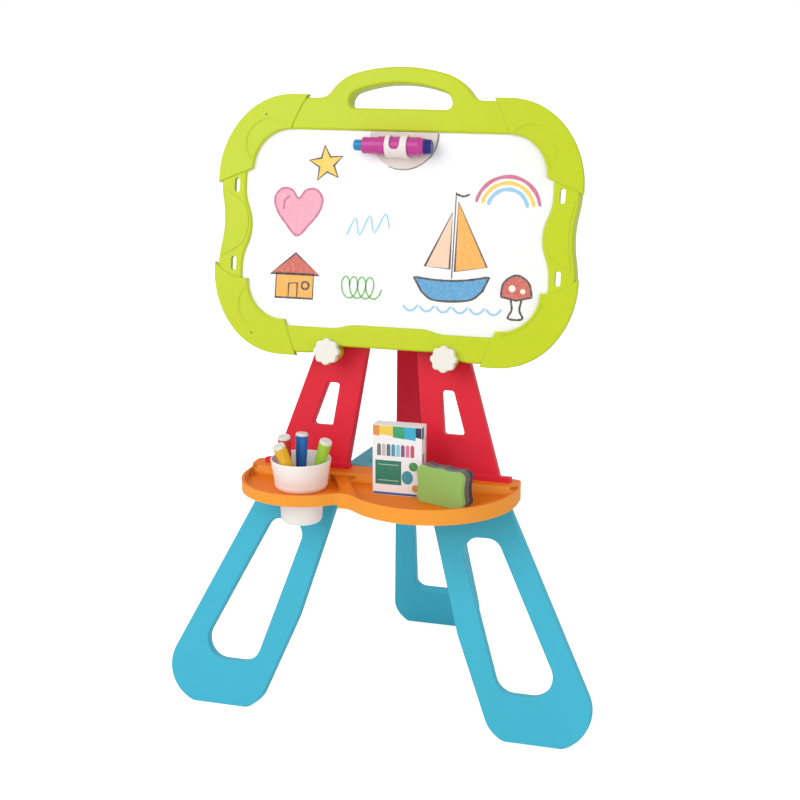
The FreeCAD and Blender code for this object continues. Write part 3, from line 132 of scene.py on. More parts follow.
def new_group(name, inputs, outputs):
    """A node group with its sockets, its input node and its output node."""
    group = bpy.data.node_groups.new(name, "ShaderNodeTree")
    for socket, kind, value in inputs:
        made = group.interface.new_socket(name=socket, in_out="INPUT", socket_type=kind)
        made.default_value = value
    for socket, kind in outputs:
        group.interface.new_socket(name=socket, in_out="OUTPUT", socket_type=kind)
    return group, group.nodes.new("NodeGroupInput"), group.nodes.new("NodeGroupOutput")


def noise(group, scale, detail, vector):
    node = group.nodes.new("ShaderNodeTexNoise")
    node.inputs["Detail"].default_value = detail
    if isinstance(scale, (int, float)):
        node.inputs["Scale"].default_value = scale
    else:
        group.links.new(scale, node.inputs["Scale"])
    group.links.new(vector, node.inputs["Vector"])
    return node.outputs["Fac"]


def math_node(group, operation, first, second):
    node = group.nodes.new("ShaderNodeMath")
    node.operation = operation
    for index, value in enumerate((first, second)):
        if isinstance(value, (int, float)):
            node.inputs[index].default_value = value
        else:
            group.links.new(value, node.inputs[index])
    return node.outputs[0]


def blend_colour(group, share, first, second, mode="MIX"):
    node = group.nodes.new("ShaderNodeMix")
    node.data_type = "RGBA"
    node.blend_type = mode
    factor, colour_a, colour_b = (node.inputs[k] for k in (0, 6, 7))
    for socket, value in ((factor, share), (colour_a, first), (colour_b, second)):
        if hasattr(value, "is_output"):
            group.links.new(value, socket)
        elif isinstance(value, (int, float)):
            socket.default_value = value
        else:
            socket.default_value = (*value, 1.0)
    return node.outputs[2]


def moulded_plastic_group():
    """Injection-moulded plastic: cloudy colour, fine spark-eroded grain, faint handling marks."""
    group, start, end = new_group("Moulded Plastic", (
        ("Colour", "NodeSocketColor", (0.8, 0.8, 0.8, 1.0)), ("Cloud", "NodeSocketFloat", 0.05),
        ("Grain", "NodeSocketFloat", 1400.0), ("Roughness", "NodeSocketFloat", 0.35)),
        (("Colour", "NodeSocketColor"), ("Roughness", "NodeSocketFloat"),
         ("Height", "NodeSocketFloat")))
    place = group.nodes.new("ShaderNodeTexCoord").outputs["Object"]
    cloud = noise(group, scale=7.0, detail=3.0, vector=place)
    cloud_shade, marks_spread, cloud_depth = 0.55, 0.22, 2.0
    share = math_node(group, "MULTIPLY", cloud, start.outputs["Cloud"])
    darker = blend_colour(group, cloud_shade, start.outputs["Colour"], (0.0, 0.0, 0.0))
    colour = blend_colour(group, share, start.outputs["Colour"], darker)
    grain = noise(group, scale=start.outputs["Grain"], detail=2.0, vector=place)
    marks = noise(group, scale=38.0, detail=4.0, vector=place)
    uneven = math_node(group, "SUBTRACT", marks, 0.5)
    spread = math_node(group, "MULTIPLY", uneven, marks_spread)
    rough = math_node(group, "ADD", start.outputs["Roughness"], spread)
    swell = math_node(group, "MULTIPLY", cloud, cloud_depth)
    height = math_node(group, "ADD", grain, swell)
    group.links.new(colour, end.inputs["Colour"])
    group.links.new(rough, end.inputs["Roughness"])
    group.links.new(height, end.inputs["Height"])
    return group


def edge_highlight_group():
    """Painted edge highlight: a paler colour in broken patches where a rounded-over normal turns away
    from the surface's own.
    """
    group, start, end = new_group("Painted Edge Highlight", (
        ("Colour", "NodeSocketColor", (0.8, 0.8, 0.8, 1.0)), ("Amount", "NodeSocketFloat", 0.2)),
        (("Colour", "NodeSocketColor"),))
    rounded = group.nodes.new("ShaderNodeBevel")
    rounded.samples = 4
    rounded.inputs["Radius"].default_value = 0.0012
    facing = group.nodes.new("ShaderNodeVectorMath")
    facing.operation = "DOT_PRODUCT"
    group.links.new(rounded.outputs["Normal"], facing.inputs[0])
    group.links.new(group.nodes.new("ShaderNodeNewGeometry").outputs["Normal"], facing.inputs[1])
    place = group.nodes.new("ShaderNodeTexCoord").outputs["Object"]
    ramp = group.nodes.new("ShaderNodeMapRange")
    ramp.inputs["From Min"].default_value = 0.99
    ramp.inputs["From Max"].default_value = 0.85
    group.links.new(facing.outputs["Value"], ramp.inputs["Value"])
    patches = noise(group, scale=90.0, detail=3.0, vector=place)
    broken = math_node(group, "MULTIPLY", ramp.outputs[0], patches)
    share = math_node(group, "MULTIPLY", broken, start.outputs["Amount"])
    paler = blend_colour(group, 0.6, start.outputs["Colour"], (1.0, 1.0, 1.0))
    group.links.new(blend_colour(group, share, start.outputs["Colour"], paler), end.inputs["Colour"])
    return group


def fibre_group():
    """Short felt or foam fibres: speckled colour and a rough height."""
    group, start, end = new_group("Fibres", (
        ("Colour", "NodeSocketColor", (0.2, 0.2, 0.2, 1.0)), ("Scale", "NodeSocketFloat", 900.0),
        ("Speckle", "NodeSocketFloat", 0.5)),
        (("Colour", "NodeSocketColor"), ("Height", "NodeSocketFloat")))
    place = group.nodes.new("ShaderNodeTexCoord").outputs["Object"]
    speck = noise(group, scale=start.outputs["Scale"], detail=3.0, vector=place)
    lint = noise(group, scale=220.0, detail=6.0, vector=place)
    share = math_node(group, "MULTIPLY", speck, start.outputs["Speckle"])
    paler = blend_colour(group, 0.35, start.outputs["Colour"], (0.75, 0.72, 0.70))
    group.links.new(blend_colour(group, share, start.outputs["Colour"], paler), end.inputs["Colour"])
    group.links.new(math_node(group, "ADD", speck, lint), end.inputs["Height"])
    return group


GROUPS = {}


def shader_group(name):
    makers = {"plastic": moulded_plastic_group, "edges": edge_highlight_group, "fibres": fibre_group}
    if name not in GROUPS:
        GROUPS[name] = makers[name]()
    return GROUPS[name]


def use_group(tree, name, values):
    node = tree.nodes.new("ShaderNodeGroup")
    node.node_tree = shader_group(name)
    for socket, value in values.items():
        if hasattr(value, "is_output"):
            tree.links.new(value, node.inputs[socket])
        else:
            node.inputs[socket].default_value = (*value, 1.0) if isinstance(value, tuple) else value
    return node


MATERIALS = {}


def new_material(name):
    """A material with its tree and its Principled shader, kept apart from the frame's own materials."""
    made = bpy.data.materials.new("easel_" + name)
    MATERIALS[name] = made
    made.use_nodes = True
    return made, made.node_tree, made.node_tree.nodes["Principled BSDF"]


def streaked_roughness(tree, shader, streaks, least):
    """Roughness that rises with the streaks from its least value."""
    rise = math_node(tree, "MULTIPLY", streaks, 0.2)
    tree.links.new(math_node(tree, "ADD", rise, least), shader.inputs["Roughness"])


def add_bump(tree, shader, height, strength, distance):
    bump = tree.nodes.new("ShaderNodeBump")
    bump.inputs["Strength"].default_value = strength
    bump.inputs["Distance"].default_value = distance
    tree.links.new(height, bump.inputs["Height"])
    tree.links.new(bump.outputs["Normal"], shader.inputs["Normal"])


def plastic(name, colour, roughness, cloud, coat=0.0, edge_highlight=0.25, bump=0.18, soft=0.0, wall=None):
    """Moulded plastic in one colour, with faces that stand upright painted in a lighter one if given:
    painted light on the tray's thin walls.
    """
    if name in MATERIALS:
        return MATERIALS[name]
    made, tree, shader = new_material(name)
    body = use_group(tree, "plastic", {"Colour": tuple(colour), "Cloud": cloud, "Roughness": roughness})
    # painted light: faces that stand upright get the lighter second colour, while flat faces keep the
    # first
    if wall:
        split = tree.nodes.new("ShaderNodeSeparateXYZ")
        tree.links.new(tree.nodes.new("ShaderNodeTexCoord").outputs["Normal"], split.inputs["Vector"])
        level = math_node(tree, "POWER", math_node(tree, "ABSOLUTE", split.outputs["Z"], 0.0), 2.0)
        tone = blend_colour(tree, level, tuple(wall), tuple(colour))
        tree.links.new(tone, body.inputs["Colour"])
    # painted highlight: the colour is paled along rounded edges, by the given amount, in place of the
    # light those edges catch
    edges = use_group(tree, "edges", {"Colour": body.outputs["Colour"], "Amount": edge_highlight})
    tree.links.new(edges.outputs["Colour"], shader.inputs["Base Color"])
    tree.links.new(body.outputs["Roughness"], shader.inputs["Roughness"])
    shader.inputs["Coat Weight"].default_value = coat
    shader.inputs["Coat Roughness"].default_value = 0.12
    shader.inputs["Specular IOR Level"].default_value = 0.25
    if soft:
        shader.inputs["Subsurface Weight"].default_value = soft
        shader.inputs["Subsurface Radius"].default_value = (0.004, 0.003, 0.002)
        shader.inputs["Subsurface Scale"].default_value = 1.0
    add_bump(tree, shader, body.outputs["Height"], strength=bump, distance=0.00012)
    return made


def metal(name, colour, roughness):
    """Turned steel with fine streaks."""
    if name in MATERIALS:
        return MATERIALS[name]
    made, tree, shader = new_material(name)
    place = tree.nodes.new("ShaderNodeTexCoord").outputs["Object"]
    stretch = tree.nodes.new("ShaderNodeMapping")
    stretch.inputs["Scale"].default_value = (60.0, 2600.0, 2600.0)
    tree.links.new(place, stretch.inputs["Vector"])
    streaks = noise(tree, scale=1.0, detail=2.0, vector=stretch.outputs["Vector"])
    darker = tuple(c * 0.8 for c in colour)
    tree.links.new(blend_colour(tree, streaks, tuple(colour), darker), shader.inputs["Base Color"])
    streaked_roughness(tree, shader, streaks, roughness)
    shader.inputs["Metallic"].default_value = 1.0
    add_bump(tree, shader, streaks, strength=0.2, distance=0.00005)
    return made


def fibrous(name, colour, scale, speckle, depth):
    """Felt and foam."""
    if name in MATERIALS:
        return MATERIALS[name]
    made, tree, shader = new_material(name)
    body = use_group(tree, "fibres", {"Colour": tuple(colour), "Scale": scale, "Speckle": speckle})
    tree.links.new(body.outputs["Colour"], shader.inputs["Base Color"])
    shader.inputs["Roughness"].default_value = 0.95
    shader.inputs["Sheen Weight"].default_value = 0.3
    add_bump(tree, shader, body.outputs["Height"], strength=0.6, distance=depth)
    return made


def ink(name, colour, fade=0.35):
    """Ink that pales in streaks by up to the share of fade, with a faint gloss."""
    if name in MATERIALS:
        return MATERIALS[name]
    made, tree, shader = new_material(name)
    place = tree.nodes.new("ShaderNodeTexCoord").outputs["Object"]
    streak = noise(tree, scale=260.0, detail=4.0, vector=place)
    paler = tuple(c + (1.0 - c) * fade for c in colour)
    share = math_node(tree, "POWER", streak, 2.2)
    tree.links.new(blend_colour(tree, share, tuple(colour), paler), shader.inputs["Base Color"])
    streaked_roughness(tree, shader, streak, 0.4)
    add_bump(tree, shader, streak, strength=0.15, distance=0.00005)
    return made


# ---------------------------------------------------------------- meshes

SAME_POINT = 2e-6  # metres: points closer than this are one
FLAT_ANGLE = 0.1  # degrees: faces that turn less than this are one
EDGE_ANGLE = 50.0  # degrees: a sharper turn than this is an edge, and is rounded
JAW_ANGLE = 38.0  # degrees: the same for the shading of the clip
BEVEL_SEGMENTS = 2


def settings():
    return bpy.context.scene.easel_sizes, bpy.context.scene.easel_colours


def finished_mesh(name, bm):
    """Turn a worked shape into a mesh."""
    mesh = bpy.data.meshes.new(name)
    bm.to_mesh(mesh)
    bm.free()
    return mesh


def new_piece(name, mesh, material, body):
    """Link a finished mesh as a piece that rides on a body."""
    piece = bpy.data.objects.new(name, mesh)
    bpy.context.scene.collection.objects.link(piece)
    if not mesh.materials:
        mesh.materials.append(material)
    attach(piece, body)
    return piece


def smooth(mesh, degrees):
    """Shade softly up to an angle between faces."""
    mesh.shade_smooth()
    mesh.set_sharp_from_angle(angle=math.radians(degrees))


def dressed(node, material, edge=0.0):
    """The node's shape with softly rounded edges, shown in place of the node."""
    source = NODES[node]
    bm = bmesh.new()
    bm.from_mesh(source.data)
    bmesh.ops.remove_doubles(bm, verts=bm.verts, dist=SAME_POINT)
    bmesh.ops.dissolve_limit(bm, angle_limit=math.radians(FLAT_ANGLE), verts=bm.verts, edges=bm.edges)
    mesh = finished_mesh(node + "_finish", bm)
    smooth(mesh, EDGE_ANGLE)
    piece = new_piece(node + "_finish", mesh, material, body_of(source)[0])
    if edge:
        add_bevel(piece, edge)
    even_shading(piece)
    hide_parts(node)
    return piece


def add_bevel(piece, edge):
    bevel = piece.modifiers.new("Moulded edges", "BEVEL")
    bevel.width = edge
    bevel.segments = BEVEL_SEGMENTS
    bevel.limit_method = "ANGLE"
    bevel.angle_limit = math.radians(EDGE_ANGLE)
    bevel.use_clamp_overlap = False


def even_shading(piece):
    """Let the large flat faces decide the shading, so that only the roundings turn the light."""
    normals = piece.modifiers.new("Even shading", "WEIGHTED_NORMAL")
    normals.mode = "FACE_AREA"
    normals.weight = 100
    normals.keep_sharp = True


def finish_node(node, material):
    """Give a node that is shown as it is its material."""
    mesh = NODES[node].data
    mesh.materials.clear()
    mesh.materials.append(material)


# ---------------------------------------------------------------- markers of the cup

FOOT_TAPER = 0.34  # share of the radius taken off at the foot; the cap's mouth loses about 0.12
WALL_SHARE = 0.8  # only points further out than this share of the widest are drawn in


def taper_cap(piece, colour):
    """Draw a marker's outer points in, more with distance from its head: the cap and part of the foot."""
    plug_low, plug_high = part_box(colour + "_marker_plug")
    barrel_low, barrel_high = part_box(colour + "_marker")
    head, body = (plug_low + plug_high) / 2, (barrel_low + barrel_high) / 2
    along = (body - head).normalized()
    places = [vertex.co - head for vertex in piece.data.vertices]
    outs = [place - along * place.dot(along) for place in places]
    widest = max(out.length for out in outs)
    rim = [k for k, out in enumerate(outs) if out.length > WALL_SHARE * widest]
    reach = max(places[k].dot(along) for k in rim)
    for k in rim:
        draw = FOOT_TAPER * max(places[k].dot(along), 0.0) / reach
        piece.data.vertices[k].co -= outs[k] * draw


# ---------------------------------------------------------------- marker clip

# all in millimetres and degrees, from the marker's axis and the panel's face
CLIP_PLAY, CLIP_WALL, CLIP_PLATE = 0.25, 2.5, 2.4
CLIP_WIDER, CLIP_ASIDE = 1.0, 3.0  # added to the plate's radius, and its shift to the right
CLIP_DROP = 2.7  # from the plate's straight top to the middle of its round
CLIP_EDGE = 0.0004
JAW_POINTS = 20
FINGERS = ((-11, -5), (9, 18))  # left and right side of each finger
FINGER_TURN = -40  # where the fingers' tips are
FINGER_SINK, LIP_SINK = 0.5, 0.4  # how deep their feet stand in the plate
LIP_THINNER = 0.4
LIP = [(-10, 86), (-5, 86), (-4.2, 97), (-2.8, 107), (-0.8, 113),
       (4.8, 113), (6.8, 107), (8.2, 97), (9, 86), (17, 86)]  # place along the axis, turn of the tip


def board_place(point):
    """Height along the board and distance out of the panel's face, in millimetres."""
    sizes = bpy.context.scene.easel_sizes
    y, z = point.y + sizes.board_back, point.z
    sine, cosine = math.sin(sizes.board_lean), math.cos(sizes.board_lean)
    return (y * sine + z * cosine) / MM, (z * sine - y * cosine - sizes.panel_face) / MM


def arc(middle, radius, start, end, count):
    """Points of an arc, in degrees from the first axis."""
    turns = [math.radians(start + (end - start) * k / (count - 1)) for k in range(count)]
    return [(middle[0] + radius * math.cos(a), middle[1] + radius * math.sin(a)) for a in turns]


def add_jaw(bm, axis, inner, outer, foot, sections):
    """A curved jaw round the marker's axis: each section has its place along it and its start angle."""
    rings = []
    for x, start in sections:
        profile = arc(axis, outer, start, 180, JAW_POINTS)
        profile += [(axis[0] - outer, foot), (axis[0] - inner, foot)]
        profile += arc(axis, inner, 180, start, JAW_POINTS)
        rings.append([bm.verts.new(on_board(x, up, out)) for up, out in profile])
    count = len(rings[0])
    for first, second in zip(rings, rings[1:]):
        for i in range(count):
            after = (i + 1) % count
            bm.faces.new((first[after], first[i], second[i], second[after]))
    for i in range(count // 2 - 1):
        corners = (i, i + 1, count - 2 - i, count - 1 - i)
        bm.faces.new([rings[0][k] for k in corners])
        bm.faces.new([rings[-1][k] for k in reversed(corners)])


def build_clip(plate, white, shade):
    """Half-disc plate with two fingers and the lip between them, and painted shadow lines round the
    plate.
    """
    sizes = bpy.context.scene.easel_sizes
    low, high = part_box("marker_clip")
    barrel_low, barrel_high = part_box("clip_marker_barrel")
    axis = board_place((barrel_low + barrel_high) / 2)
    marker = (barrel_high.z - barrel_low.z) / 2 / MM
    radius = (high.x - low.x) / 2 / MM + CLIP_WIDER
    middle = (high.x + low.x) / 2 / MM + CLIP_ASIDE
    depth = sizes.panel_face / MM + CLIP_PLATE
    top = (high.z / MM - depth * math.sin(sizes.board_lean)) / math.cos(sizes.board_lean)
    centre = (middle, top - CLIP_DROP)
    bm = bmesh.new()
    half_disc = [(middle + radius, top), (middle - radius, top)] + arc(centre, radius, 180, 360, 48)
    add_fill(bm, half_disc, 0.0, CLIP_PLATE)
    inner = marker + CLIP_PLAY
    outer = inner + CLIP_WALL
    flat = len(bm.faces)
    for left, right in FINGERS:
        finger = [(left, FINGER_TURN), (right, FINGER_TURN)]
        add_jaw(bm, axis, inner, outer, CLIP_PLATE - FINGER_SINK, finger)
    add_jaw(bm, axis, inner, outer - LIP_THINNER, CLIP_PLATE - LIP_SINK, LIP)
    bm.faces.ensure_lookup_table()
    for face in bm.faces[flat:]:
        face.material_index = 1
    bmesh.ops.recalc_face_normals(bm, faces=bm.faces)
    mesh = finished_mesh("marker_clip_finish", bm)
    smooth(mesh, JAW_ANGLE)
    mesh.materials.append(plate)
    mesh.materials.append(white)
    piece = new_piece("marker_clip_finish", mesh, white, "board")
    add_bevel(piece, CLIP_EDGE)
    even_shading(piece)
    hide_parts("marker_clip")
    below, beside = 0.7, 1.1  # how far the painted shadow lines run outside the plate
    # painted shadow: dark grey ribbons along the plate's lower and right edge
    thin = arc(centre, radius + below, 245, 330, 32)
    wide = arc(centre, radius + beside, 318, 358, 12) + [(middle + radius + beside, top - 0.5)]
    drawing("marker_clip_painted_shadow", shade, strokes=[(thin, False)], width=1.4)
    drawing("marker_clip_painted_shadow_side", shade, strokes=[(wide, False)], width=2.4, level=0.02)


# ---------------------------------------------------------------- stage

FLOOR_HALF, FLOOR_BELOW = 30.0, 0.0005
FLOOR_GLOW = 0.7  # keeps the floor pale where the camera sees it
WORLD_LIGHT, WORLD_SEEN = 0.60, 1.0
LIGHT_AIM = (0.0, 0.0, 0.45)
LIGHTS = (("key", (-1.8, -2.6, 2.3), 2.6, 56.0),
          ("fill", (2.4, -2.6, 1.1), 2.6, 26.0),
          ("back", (0.6, 2.6, 2.4), 2.2, 14.0))  # name, place, width, watts
# the camera's place and aim in metres, before the set back is taken off y
CAMERA_X, CAMERA_Y, CAMERA_Z = 0.552, -1.799, 0.935
AIM_X, AIM_Y, AIM_Z = 0.0043, 0.080, 0.4491
LENS, SENSOR, SHIFT_X, SHIFT_Y = 69.03, 36.0, 0.0074, -0.0254


def studio_world(light, seen):
    """White surroundings: one strength lights the easel, another is seen behind it."""
    world = bpy.data.worlds.new("studio")
    world.use_nodes = True
    tree = world.node_tree
    background = tree.nodes["Background"]
    background.inputs["Color"].default_value = (1.0, 1.0, 1.0, 1.0)
    straight = tree.nodes.new("ShaderNodeLightPath").outputs["Is Camera Ray"]
    strength = math_node(tree, "ADD", math_node(tree, "MULTIPLY", straight, seen - light), light)
    tree.links.new(strength, background.inputs["Strength"])
    return world


# ---------------------------------------------------------------- drawings

# heights over the panel's face or the carton's side, in millimetres
INK_LOW, STROKE_HIGH, FILL_HIGH = 0.02, 0.14, 0.07
PRINT_LOW, PRINT_HIGH = 0.01, 0.03
ON_TOP = 0.03  # lifts an outline over its filling
CIRCLE_POINTS = 14


def on_board(x, up, out=0.0):
    """A point of the board in millimetres, out measured from the panel's face."""
    sizes = bpy.context.scene.easel_sizes
    lean = sizes.board_lean
    depth = sizes.panel_face + out * MM
    across, along = x * MM, up * MM
    return Vector((across, along * math.sin(lean) - depth * math.cos(lean) - sizes.board_back,
                   along * math.cos(lean) + depth * math.sin(lean)))


def curved(points, closed=False, steps=7):
    """A smooth line through the points."""
    count = len(points)
    spans = count if closed else count - 1
    line = []
    for i in range(spans):
        if closed:
            a, b, c, e = (points[(i + k) % count] for k in (-1, 0, 1, 2))
        else:
            a, b = points[max(i - 1, 0)], points[i]
            c, e = points[i + 1], points[min(i + 2, count - 1)]
        for k in range(steps):
            t = k / steps
            line.append(tuple(0.5 * (2 * b[n] + (c[n] - a[n]) * t
                                     + (2 * a[n] - 5 * b[n] + 4 * c[n] - e[n]) * t * t
                                     + (3 * b[n] - a[n] - 3 * c[n] + e[n]) * t ** 3) for n in (0, 1)))
    if not closed:
        line.append(points[-1])
    return line


def circle(x, up, radius, tall=None):
    """A round outline, or an oval one if its height is given as well."""
    tall = tall or radius
    turns = [2 * math.pi * k / CIRCLE_POINTS for k in range(CIRCLE_POINTS)]
    return [(x + radius * math.cos(a), up + tall * math.sin(a)) for a in turns]


def add_ribbon(bm, line, width, closed, low, high):
    """A flat closed ribbon along a line of the board, with narrowed ends."""
    mean, swing, by_step, by_place = 0.92, 0.12, 1.7, 0.11  # how the width wavers along the stroke
    end_share = 0.55
    count = len(line)
    rings = []
    for i, (x, up) in enumerate(line):
        before = line[i - 1] if closed or i else line[i]
        after = line[(i + 1) % count] if closed or i < count - 1 else line[i]
        along = Vector((after[0] - before[0], after[1] - before[1]))
        if along.length < 1e-6:
            along = Vector((1.0, 0.0))
        along.normalize()
        half = width / 2 * (mean + swing * math.sin(i * by_step + x * by_place))
        if not closed and i in (0, count - 1):
            half *= end_share
        left = (x - along.y * half, up + along.x * half)
        right = (x + along.y * half, up - along.x * half)
        rings.append([bm.verts.new(on_board(*left, low)), bm.verts.new(on_board(*right, low)),
                      bm.verts.new(on_board(*right, high)), bm.verts.new(on_board(*left, high))])
    for i in range(count if closed else count - 1):
        a, b = rings[i], rings[(i + 1) % count]
        for k in range(4):
            bm.faces.new((a[k], a[(k + 1) % 4], b[(k + 1) % 4], b[k]))
    if not closed:
        bm.faces.new(rings[0][::-1])
        bm.faces.new(rings[-1])


def add_fill(bm, line, low, high, face=on_board):
    """A flat closed patch inside a line drawn on the board or on another face."""
    bottom = [bm.verts.new(face(x, up, low)) for x, up in line]
    top = [bm.verts.new(face(x, up, high)) for x, up in line]
    faces = [bm.faces.new(bottom[::-1]), bm.faces.new(top)]
    count = len(line)
    for i in range(count):
        bm.faces.new((bottom[i], bottom[(i + 1) % count], top[(i + 1) % count], top[i]))
    bmesh.ops.triangulate(bm, faces=faces)


def drawing(name, material, strokes=(), fills=(), width=None, level=0.0):
    """Strokes and filled patches of one ink as one thin piece on the panel."""
    sizes = bpy.context.scene.easel_sizes
    width = width or sizes.stroke / MM
    bm = bmesh.new()
    for line, closed in strokes:
        add_ribbon(bm, line, width, closed, INK_LOW + level, STROKE_HIGH + level)
    for line in fills:
        add_fill(bm, line, INK_LOW + level, FILL_HIGH + level)
    bmesh.ops.recalc_face_normals(bm, faces=bm.faces)
    return new_piece(name, finished_mesh(name, bm), material, "board")


BROWN = (0.036, 0.012, 0.007)
PINK = (0.86, 0.36, 0.47)
ROSE = (0.62, 0.12, 0.24)
AMBER = (0.92, 0.42, 0.03)
SUN_YELLOW = (0.95, 0.62, 0.06)
SKY = (0.28, 0.58, 0.82)
LEAF = (0.17, 0.50, 0.12)
BRICK = (0.62, 0.09, 0.05)
SEA = (0.05, 0.33, 0.62)


def draw_house():
    """Small house: amber walls, brick roof, brown outlines."""
    walls = [(-158, 556), (-106, 556), (-106, 588), (-158, 588)]
    roof = [(-166, 587), (-98, 587), (-132, 615)]
    drawing("drawing_house_walls", ink("ink_amber", AMBER), fills=[walls])
    drawing("drawing_house_roof", ink("ink_brick", BRICK), fills=[roof])
    door = [(-140, 557), (-140, 575), (-128, 576), (-128, 557)]
    window = circle(-117, 573, 5)
    outline = [(walls, True), (roof, True), (door, False), (window, True)]
    drawing("drawing_house_outline", ink("ink_brown", BROWN), strokes=outline, level=ON_TOP)


def draw_heart():
    """Pink heart with a rose outline and a line of shine inside."""
    half = [(0, 22), (10, 33), (24, 34), (33, 22), (29, 5), (16, -12), (0, -27)]
    right = [(-132 + x, 665 + y) for x, y in half]
    left = [(-132 - x, 665 + y) for x, y in half[-2:0:-1]]
    shape = curved(right + left, closed=True)
    drawing("drawing_heart_fill", ink("ink_pink", PINK), fills=[shape])
    shine = curved([(-152, 672), (-151, 684), (-143, 690)])
    drawing("drawing_heart_outline", ink("ink_rose", ROSE), strokes=[(shape, True), (shine, False)],
            level=ON_TOP)


def draw_star():
    """Five-pointed yellow star with a brown outline."""
    points = []
    tip, notch, first_turn = 24, 10.5, 98
    for k in range(10):
        radius = tip if k % 2 == 0 else notch
        angle = math.radians(first_turn + 36 * k)
        points.append((-96 + radius * math.cos(angle), 733 + radius * math.sin(angle)))
    drawing("drawing_star_fill", ink("ink_yellow", SUN_YELLOW), fills=[points])
    drawing("drawing_star_outline", ink("ink_brown", BROWN), strokes=[(points, True)], level=ON_TOP)


def draw_boat():
    """Sailing boat: blue hull, amber sail, peach jib, brown lines and waves."""
    deck = curved([(30, 592), (62, 589), (96, 590), (130, 596)])
    hull = deck + curved([(122, 578), (104, 565), (60, 563), (42, 573)])
    main = [(84, 601), (84, 690), (126, 608)]
    jib = [(77, 604), (77, 676), (44, 606)]
    drawing("drawing_boat_hull", ink("ink_sea", SEA), fills=[hull])
    drawing("drawing_boat_sail", ink("ink_amber", AMBER), fills=[main])
    drawing("drawing_boat_jib", ink("ink_peach", (0.94, 0.62, 0.42)), fills=[jib])
    mast = [(80.5, 592), (80.5, 702)]
    flag = curved([(80.5, 700), (90, 697), (98, 700)])
    outline = [(hull, True), (main, True), (jib, True), (mast, False), (flag, False)]
    drawing("drawing_boat_outline", ink("ink_brown", BROWN), strokes=outline, level=ON_TOP)
    wave, pitch = ((18, 555), (24, 549), (31, 549), (38, 556)), 22
    waves = [(curved([(x + k * pitch, up) for x, up in wave]), False) for k in range(6)]
    drawing("drawing_waves", ink("ink_sky", SKY), strokes=waves)


def draw_rainbow():
    """Three arcs of a rainbow, one inside the other."""
    for name, colour, radius in (("rose", ROSE, 42), ("yellow", SUN_YELLOW, 34), ("sky", SKY, 26)):
        bow = arc((148, 682), radius, 8, 168, 21)
        made = ink("ink_" + name, colour)
        drawing("drawing_rainbow_" + name, made, strokes=[(bow, False)], width=5.2)


def draw_mushroom():
    """Mushroom: brick cap with cream spots, brown outline."""
    cap = curved([(146, 572), (149, 590), (165, 600), (181, 591), (186, 573)]) + [(166, 568)]
    stem = curved([(159, 569), (161, 556), (157, 545), (175, 545), (171, 556), (173, 569)])
    drawing("drawing_mushroom_cap", ink("ink_brick", BRICK), fills=[cap])
    spots = [circle(160, 583, 4.4), circle(174, 580, 3.4)]
    cream = ink("ink_cream", (0.90, 0.86, 0.78))
    drawing("drawing_mushroom_spots", cream, fills=spots, level=2 * ON_TOP)
    drawing("drawing_mushroom_outline", ink("ink_brown", BROWN), strokes=[(cap, True), (stem, False)],
            level=ON_TOP)


def draw_scribbles():
    """A blue wave and a green spring, drawn with a broad tip."""
    blue = [(-64, 640), (-52, 664), (-46, 642), (-33, 668), (-26, 646), (-12, 671), (-6, 652)]
    drawing("scribble_blue", ink("ink_pale_blue", (0.36, 0.64, 0.86)),
            strokes=[(curved(blue, steps=4), False)], width=2.8)
    loop = 24  # points in one turn of the spring
    turns = [k * math.pi / 12 for k in range(4 * loop + 1)]
    green = [(-64 + 11 * k / loop + 8 * math.cos(a), 574 + 14 * math.sin(a))
             for k, a in enumerate(turns)]
    drawing("scribble_green", ink("ink_leaf", LEAF), strokes=[(green, False)], width=2.4)


# ---------------------------------------------------------------- print on the carton


def on_carton_front(across, up, out=0.0):
    """A point on the carton's front in millimetres from its lower left corner."""
    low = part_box("crayon_carton")[0]
    return Vector((low.x + across * MM, low.y - out * MM, low.z + up * MM))


def on_carton_side(across, up, out=0.0):
    """A point on the carton's right side in millimetres from its lower front corner."""
    low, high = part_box("crayon_carton")
    return Vector((high.x + out * MM, low.y + across * MM, low.z + up * MM))


def printed(name, colour, shapes, face, level=0.0):
    """Closed areas of one printing ink on a face of the carton."""
    bm = bmesh.new()
    for shape in shapes:
        add_fill(bm, shape, PRINT_LOW + level, PRINT_HIGH + level, face)
    bmesh.ops.recalc_face_normals(bm, faces=bm.faces)
    made = ink(name + "_ink", colour, fade=0.10)
    return new_piece(name, finished_mesh(name, bm), made, body_of(NODES["crayon_carton"])[0])


def rectangle(left, low, right, high):
    return [(left, low), (right, low), (right, high), (left, high)]


def crayon_shape(left, low, high):
    """Outline of a crayon with a round-nosed tip."""
    half, nose = 2.5, 3
    turns = [math.radians(a) for a in range(0, 181, 30)]
    tip = [(left + half + half * math.cos(a), high - nose + nose * math.sin(a)) for a in turns]
    return [(left, low), (left + 2 * half, low)] + tip


